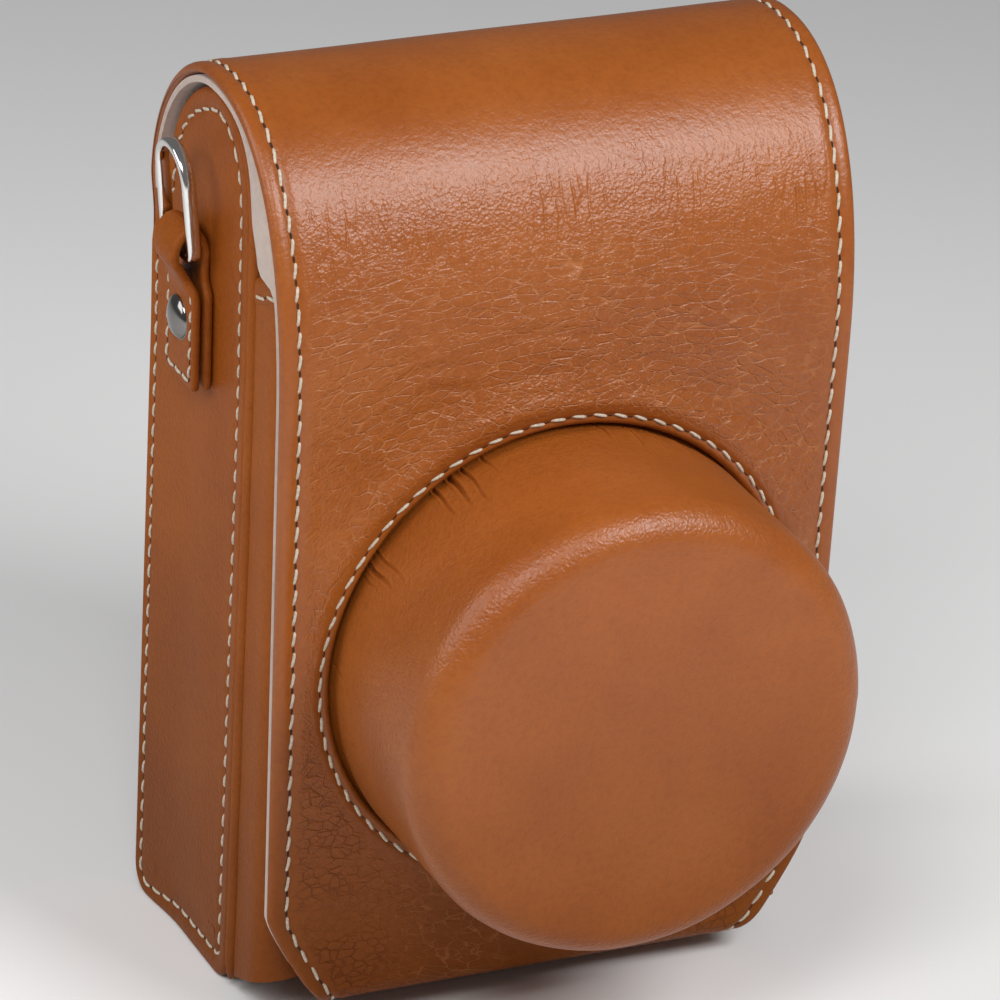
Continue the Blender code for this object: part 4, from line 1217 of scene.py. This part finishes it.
def build_strap(side, hand):
    """Doubled strap tab with its loop, and the stitches round its outer layer."""
    path = strap_path()
    total = length_of(path)
    stations = np.concatenate([[0.0, 0.15, 0.4], np.arange(0.9, total - 0.8, 0.55),
                               [total - 0.4, total - 0.15, total]])
    rows, normals = with_normals(path, stations)
    half = 5.35 - 1.45 * smooth(102.2, 104.6, rows[:, 1])
    end = np.minimum(stations, total - stations)
    half = half - 0.8 + np.sqrt(np.maximum(0.64 - np.clip(0.8 - end, 0.0, 0.8) ** 2, 0.0))
    x = across(half, 10, np.array([0.0, 0.12, 0.35, 0.7, 1.1, 1.5, 1.9, 2.4]))
    out = np.repeat(rows[:, :1], x.shape[1], 1)
    z = np.repeat(rows[:, 1:], x.shape[1], 1)
    edge = np.minimum(half[:, None] - np.abs(x), end[:, None])
    outer_layer = smooth(0.55 * total, 0.6 * total, stations)[:, None]
    groove = 0.2 * np.exp(-((edge - 1.2) / 0.35) ** 2) * outer_layer
    puff = 0.35 * smooth(0.0, 5.0, half[:, None] - np.abs(x)) * smooth(105.0, 108.0, z)
    round_off = rounding(edge, STRAP_THICK / 2)

    def placed(depth):
        return np.stack([side * (widened(STRAP_X, z) + out + normals[:, :1] * depth), STRAP_Y + x,
                         z + normals[:, 1:] * depth], -1)

    made = skin(hand + "_strap", placed(-STRAP_THICK / 2 + round_off + groove - 0.5 * puff),
                placed(STRAP_THICK / 2 - round_off), SIDE, None, joined(x.shape, True, True))
    face = widened(STRAP_X, 96.0) + 2.5 + 0.62
    low, high, wide = STRAP_LOW + 1.4, 103.4, 4.15
    corners = np.array([(-wide, high), (-wide, low), (wide, low), (wide, high), (-wide, high)])
    seam, _ = resample(corners + (STRAP_Y, 0.0), spacing=0.5)
    points = upright(side * (face - 0.12), seam)
    normal = np.tile([float(side), 0.0, 0.0], (len(points), 1))
    return made, stitches(hand + "_strap_stitches", points, normal, pitch=2.6)


def build_ring(side, hand):
    """Nickelled oblong ring of flat band, leaning a little out from the gusset."""
    inner_half, thick, width, rise = 4.3, 1.3, 1.9, 16.4
    mid = inner_half + thick / 2
    head = rise - thick - inner_half
    foot = 1.65
    route = closed_loop(np.concatenate([arc((mid - foot, foot), foot, -90, 0, 8),
                                        arc((0.0, head), mid, 0, 180, 40),
                                        arc((-mid + foot, foot), foot, 180, 270, 8)]), 0.5)
    outward = turned(unit(np.roll(route, -1, 0) - np.roll(route, 1, 0)), -1.0)
    section = rounded_section(thick / 2, width / 2, 0.6, 0.45, 20)
    lean = math.radians(6.0)
    sections = []
    for place, out in zip(route, outward):
        ring = []
        for a, b in section:
            y, z = place + out * a
            ring.append((side * (abs(RING_AXIS[0]) + b * math.cos(lean) + z * math.sin(lean)),
                         STRAP_Y + y, RING_AXIS[2] + z * math.cos(lean) - b * math.sin(lean)))
        sections.append(ring)
    return tube(hand + "_strap_ring", sections, NICKEL, capped=False, autosmooth=0.0)


def turned_on_rivet(name, side, face, profile, material, around):
    """A part turned about the rivet's axis, with heights out from a face."""
    def place(radius, angle, height):
        return (side * (face + height), STRAP_Y + radius * math.cos(angle),
                RIVET_Z + radius * math.sin(angle))

    return revolve(name, profile, place, material, around, None, 40.0)


def build_rivet(side, hand):
    """Domed rivet cap on a thin flange, pressed into the strap."""
    face = widened(STRAP_X, RIVET_Z) + 2.2 + STRAP_THICK / 2
    dome = [(3.15 * math.sin(t), 0.35 + 1.25 * math.cos(t) ** 1.15 if math.cos(t) > 0 else 0.35)
            for t in np.linspace(0.0, math.pi / 2, 14)]
    profile = [(0.0, 1.6)] + dome[1:] + [(3.30, 0.30), (3.36, 0.15), (3.30, -0.05), (1.2, -0.05),
                                         (1.2, -4.4), (0.0, -4.4)]
    return turned_on_rivet(hand + "_rivet_cap", side, face, profile, RIVET, 48)


def build_burr(side, hand):
    """Washer that the rivet's post is spread over, against the gusset's suede."""
    face = widened(GUSSET_X - LEATHER - 0.95, RIVET_Z)
    profile = [(0.0, -0.75), (0.5, -0.85), (1.0, -0.80), (1.25, -0.55), (1.5, -0.45), (2.3, -0.42),
               (2.7, -0.30), (2.8, -0.10), (2.8, 0.05), (1.2, 0.10), (0.0, 0.10)]
    return turned_on_rivet(hand + "_rivet_washer", side, face, profile, NICKEL, 40)


# ---------------------------------------------------------------- underside

def build_bottom():
    """Leather underside with its sloping chin."""
    outline = np.array([(WALL_Y + 0.15, CHIN_TOP), (CHIN_Y, BOTTOM), (BACK - 1.6, BOTTOM)])
    rows, normals = with_normals(outline, np.linspace(0.0, length_of(outline), 50))
    ahead = np.clip(WALL_Y + WALL_CORNER - rows[:, 0], 0.0, WALL_CORNER)
    front_half = WALL_HALF - 0.7 - WALL_CORNER + np.sqrt(WALL_CORNER ** 2 - ahead ** 2)
    half = np.where(rows[:, 0] < WALL_REAR - 0.4, front_half, 39.4)
    x = half[:, None] * np.linspace(-1.0, 1.0, 60)[None, :]
    _, y, z, placed = sheet(rows, normals, x)
    wave = 0.08 * ripple(np.stack([x, y, z], -1), 12.0, 6.6)
    return skin("bottom_leather", placed(np.zeros_like(x)), placed(LEATHER - wave * 0.5), SIDE)


def build_floor_lining():
    """Suede on the floor of the case, rising up the chin inside."""
    low, high = box("bottom_lining")
    thick = 0.7
    outline = np.array([(low[1], high[2] - thick), (CHIN_Y + 1.2, low[2]), (high[1], low[2])])
    rows, normals = with_normals(outline, np.linspace(0.0, length_of(outline), 44))
    x = np.repeat(np.linspace(low[0], high[0], 60)[None, :], len(rows), 0)
    _, y, z, placed = sheet(rows, normals, x, widen=False)
    wave = 0.08 * ripple(np.stack([x, y, z], -1), 9.0, 2.6)
    return skin("floor_suede", placed(np.zeros_like(x)), placed(-thick + wave), SUEDE)


def paint_cad():
    """Procedural materials for the CAD nodes that stay."""
    kinds = (("lining", SUEDE), ("magnet", STEEL), ("board", BOARD), ("core", BOARD),
             ("ring", NICKEL), ("rivet", NICKEL))
    for name, node in frame["nodes"].items():
        node.data.materials.clear()
        node.data.materials.append(next((kind for word, kind in kinds if word in name), SIDE))


# ---------------------------------------------------------------- build it all

def fit(made, body, *nodes, slot=None):
    """Ties a piece and its thread to a body, and hides the CAD nodes whose place it takes."""
    pieces = made if isinstance(made, tuple) else (made,)
    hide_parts(*nodes)
    for piece in pieces:
        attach(piece, body)


def bend(y, z, run, rise):
    """Two points, in metres, marking where a living hinge would bend."""
    return (0.0, y * MM, z * MM), (0.0, (y + run) * MM, (z + rise) * MM)


paint_cad()

HINGE_BEND = bend(BACK, HINGE - 6.0, -4.14, 1.655)
LINING_BEND = bend(BACK, HINGE + 2.0, -4.14, 1.655)
FOLD_BEND = bend(FRONT, FOLD_Z + 1.0, 4.2, -5.2)

cover = build_cover()
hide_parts("back_panel", "flap_leather")
edge_stitches, ring_stitches = build_cover_stitches()
for piece in [cover] + edge_stitches:
    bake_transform(piece)
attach(ring_stitches, "flap")

cover_lining = build_cover_lining()
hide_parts("back_lining", "flap_lining")
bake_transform(cover_lining)

tab_leather, tab_line, tab_stations, tab_half = build_tab("fold_and_tab", 0.0, 1.4, 0.0, COVER, 0.7)
work_attributes(tab_leather)
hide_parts("closure_tab")
tab_suede = build_tab("fold_and_tab_lining", 2.35, 0.7, 0.5, SUEDE, 1.0)[0]
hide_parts("closure_tab_lining")
usable = tab_stations < length_of(tab_line) - INSET
tab_seams = [stitches(hand + "_tab_stitches", *seam_line(tab_line, tab_stations[usable],
                                                         tab_half[usable] - INSET, sign))
             for sign, hand in HANDS]
for piece in [tab_leather, tab_suede] + tab_seams:
    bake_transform(piece)

fit(build_cup(), "flap", "cup_leather", slot="leather")
fit(build_cup_lining(), "flap", "cup_lining", slot="suede")
fit(build_front_wall("front_wall_leather", 0.0, LEATHER, SLOT, 1.4, WALL_TOP, SIDE),
    "shell", "front_wall")
fit(build_front_wall("front_wall_suede", LEATHER + 0.25, 0.7, SLOT + 0.5, 4.6, WALL_TOP, SUEDE),
    "shell", "front_wall_lining")
fit(build_bottom(), "shell", "bottom_panel")
fit(build_floor_lining(), "shell", "bottom_lining")

for case_side, case_hand in HANDS:
    for build, node in ((build_gusset, "gusset"), (build_piping, "piping"),
                        (build_binding, "wall_binding"), (build_strap, "strap_tab"),
                        (build_rivet, "rivet"), (build_burr, "rivet_burr"),
                        (build_gusset_lining, "gusset_lining")):
        fit(build(case_side, case_hand), "shell", f"{case_hand}_{node}")
    fit(build_ring(case_side, case_hand), case_hand + "_ring", case_hand + "_ring")

# ---------------------------------------------------------------- studio

def towards(azimuth, elevation):
    """The direction of a camera or lamp from the object; azimuth 0 is in front of it."""
    azimuth, elevation = math.radians(azimuth), math.radians(elevation)
    return Vector((math.sin(azimuth) * math.cos(elevation), -math.cos(azimuth) * math.cos(elevation),
                   math.sin(elevation)))


def studio():
    """Pale floor, soft lights and the camera."""
    scene = bpy.context.scene
    mesh = bpy.data.meshes.new("floor")
    mesh.from_pydata([(-3, -3, 0), (3, -3, 0), (3, 3, 0), (-3, 3, 0)], [], [(0, 1, 2, 3)])
    floor = bpy.data.objects.new("floor", mesh)
    mesh.materials.append(Shading("floor_paper").surface(Base_Color=(0.92, 0.92, 0.92, 1.0),
                                                         Roughness=0.9))
    scene.collection.objects.link(floor)

    world = bpy.data.worlds.new("studio")
    world.use_nodes = True
    world.node_tree.nodes["Background"].inputs["Color"].default_value = (1.0, 1.0, 1.0, 1.0)
    world.node_tree.nodes["Background"].inputs["Strength"].default_value = 0.15
    scene.world = world

    aim = Vector((0.0, 0.0, 0.10))
    for name, azimuth, elevation, distance, size, power in (
            ("key", 27.0, 41.0, 0.52, 0.21, 2.15),
            ("left", -40.0, 46.0, 0.52, 0.20, 1.15),
            ("side", -98.0, 30.0, 0.60, 0.40, 1.65)):
        lamp = bpy.data.lights.new(name, "AREA")
        lamp.energy = power
        lamp.size = size
        light = bpy.data.objects.new(name, lamp)
        light.location = aim + distance * towards(azimuth, elevation)
        light.rotation_euler = (aim - light.location).to_track_quat("-Z", "Y").to_euler()
        scene.collection.objects.link(light)

    azimuth, roll = math.radians(-25.27), math.radians(3.116)
    back = towards(-25.27, 25.22)
    level = Vector((math.cos(azimuth), math.sin(azimuth), 0.0))
    above = back.cross(level)
    right = level * math.cos(roll) + above * math.sin(roll)
    up = above * math.cos(roll) - level * math.sin(roll)
    target = Vector((1.10, BACK - 26.6, 67.26)) * MM
    lens = bpy.data.cameras.new("camera")
    lens.sensor_width = 36.0
    lens.lens = 237.6
    lens.clip_start = 0.05
    camera = bpy.data.objects.new("camera", lens)
    camera.matrix_world = Matrix.Translation(target + back * 0.9323) @ Matrix(
        (right, up, back)).transposed().to_4x4()
    scene.collection.objects.link(camera)
    scene.camera = camera
    scene.view_settings.view_transform = "Standard"


studio()
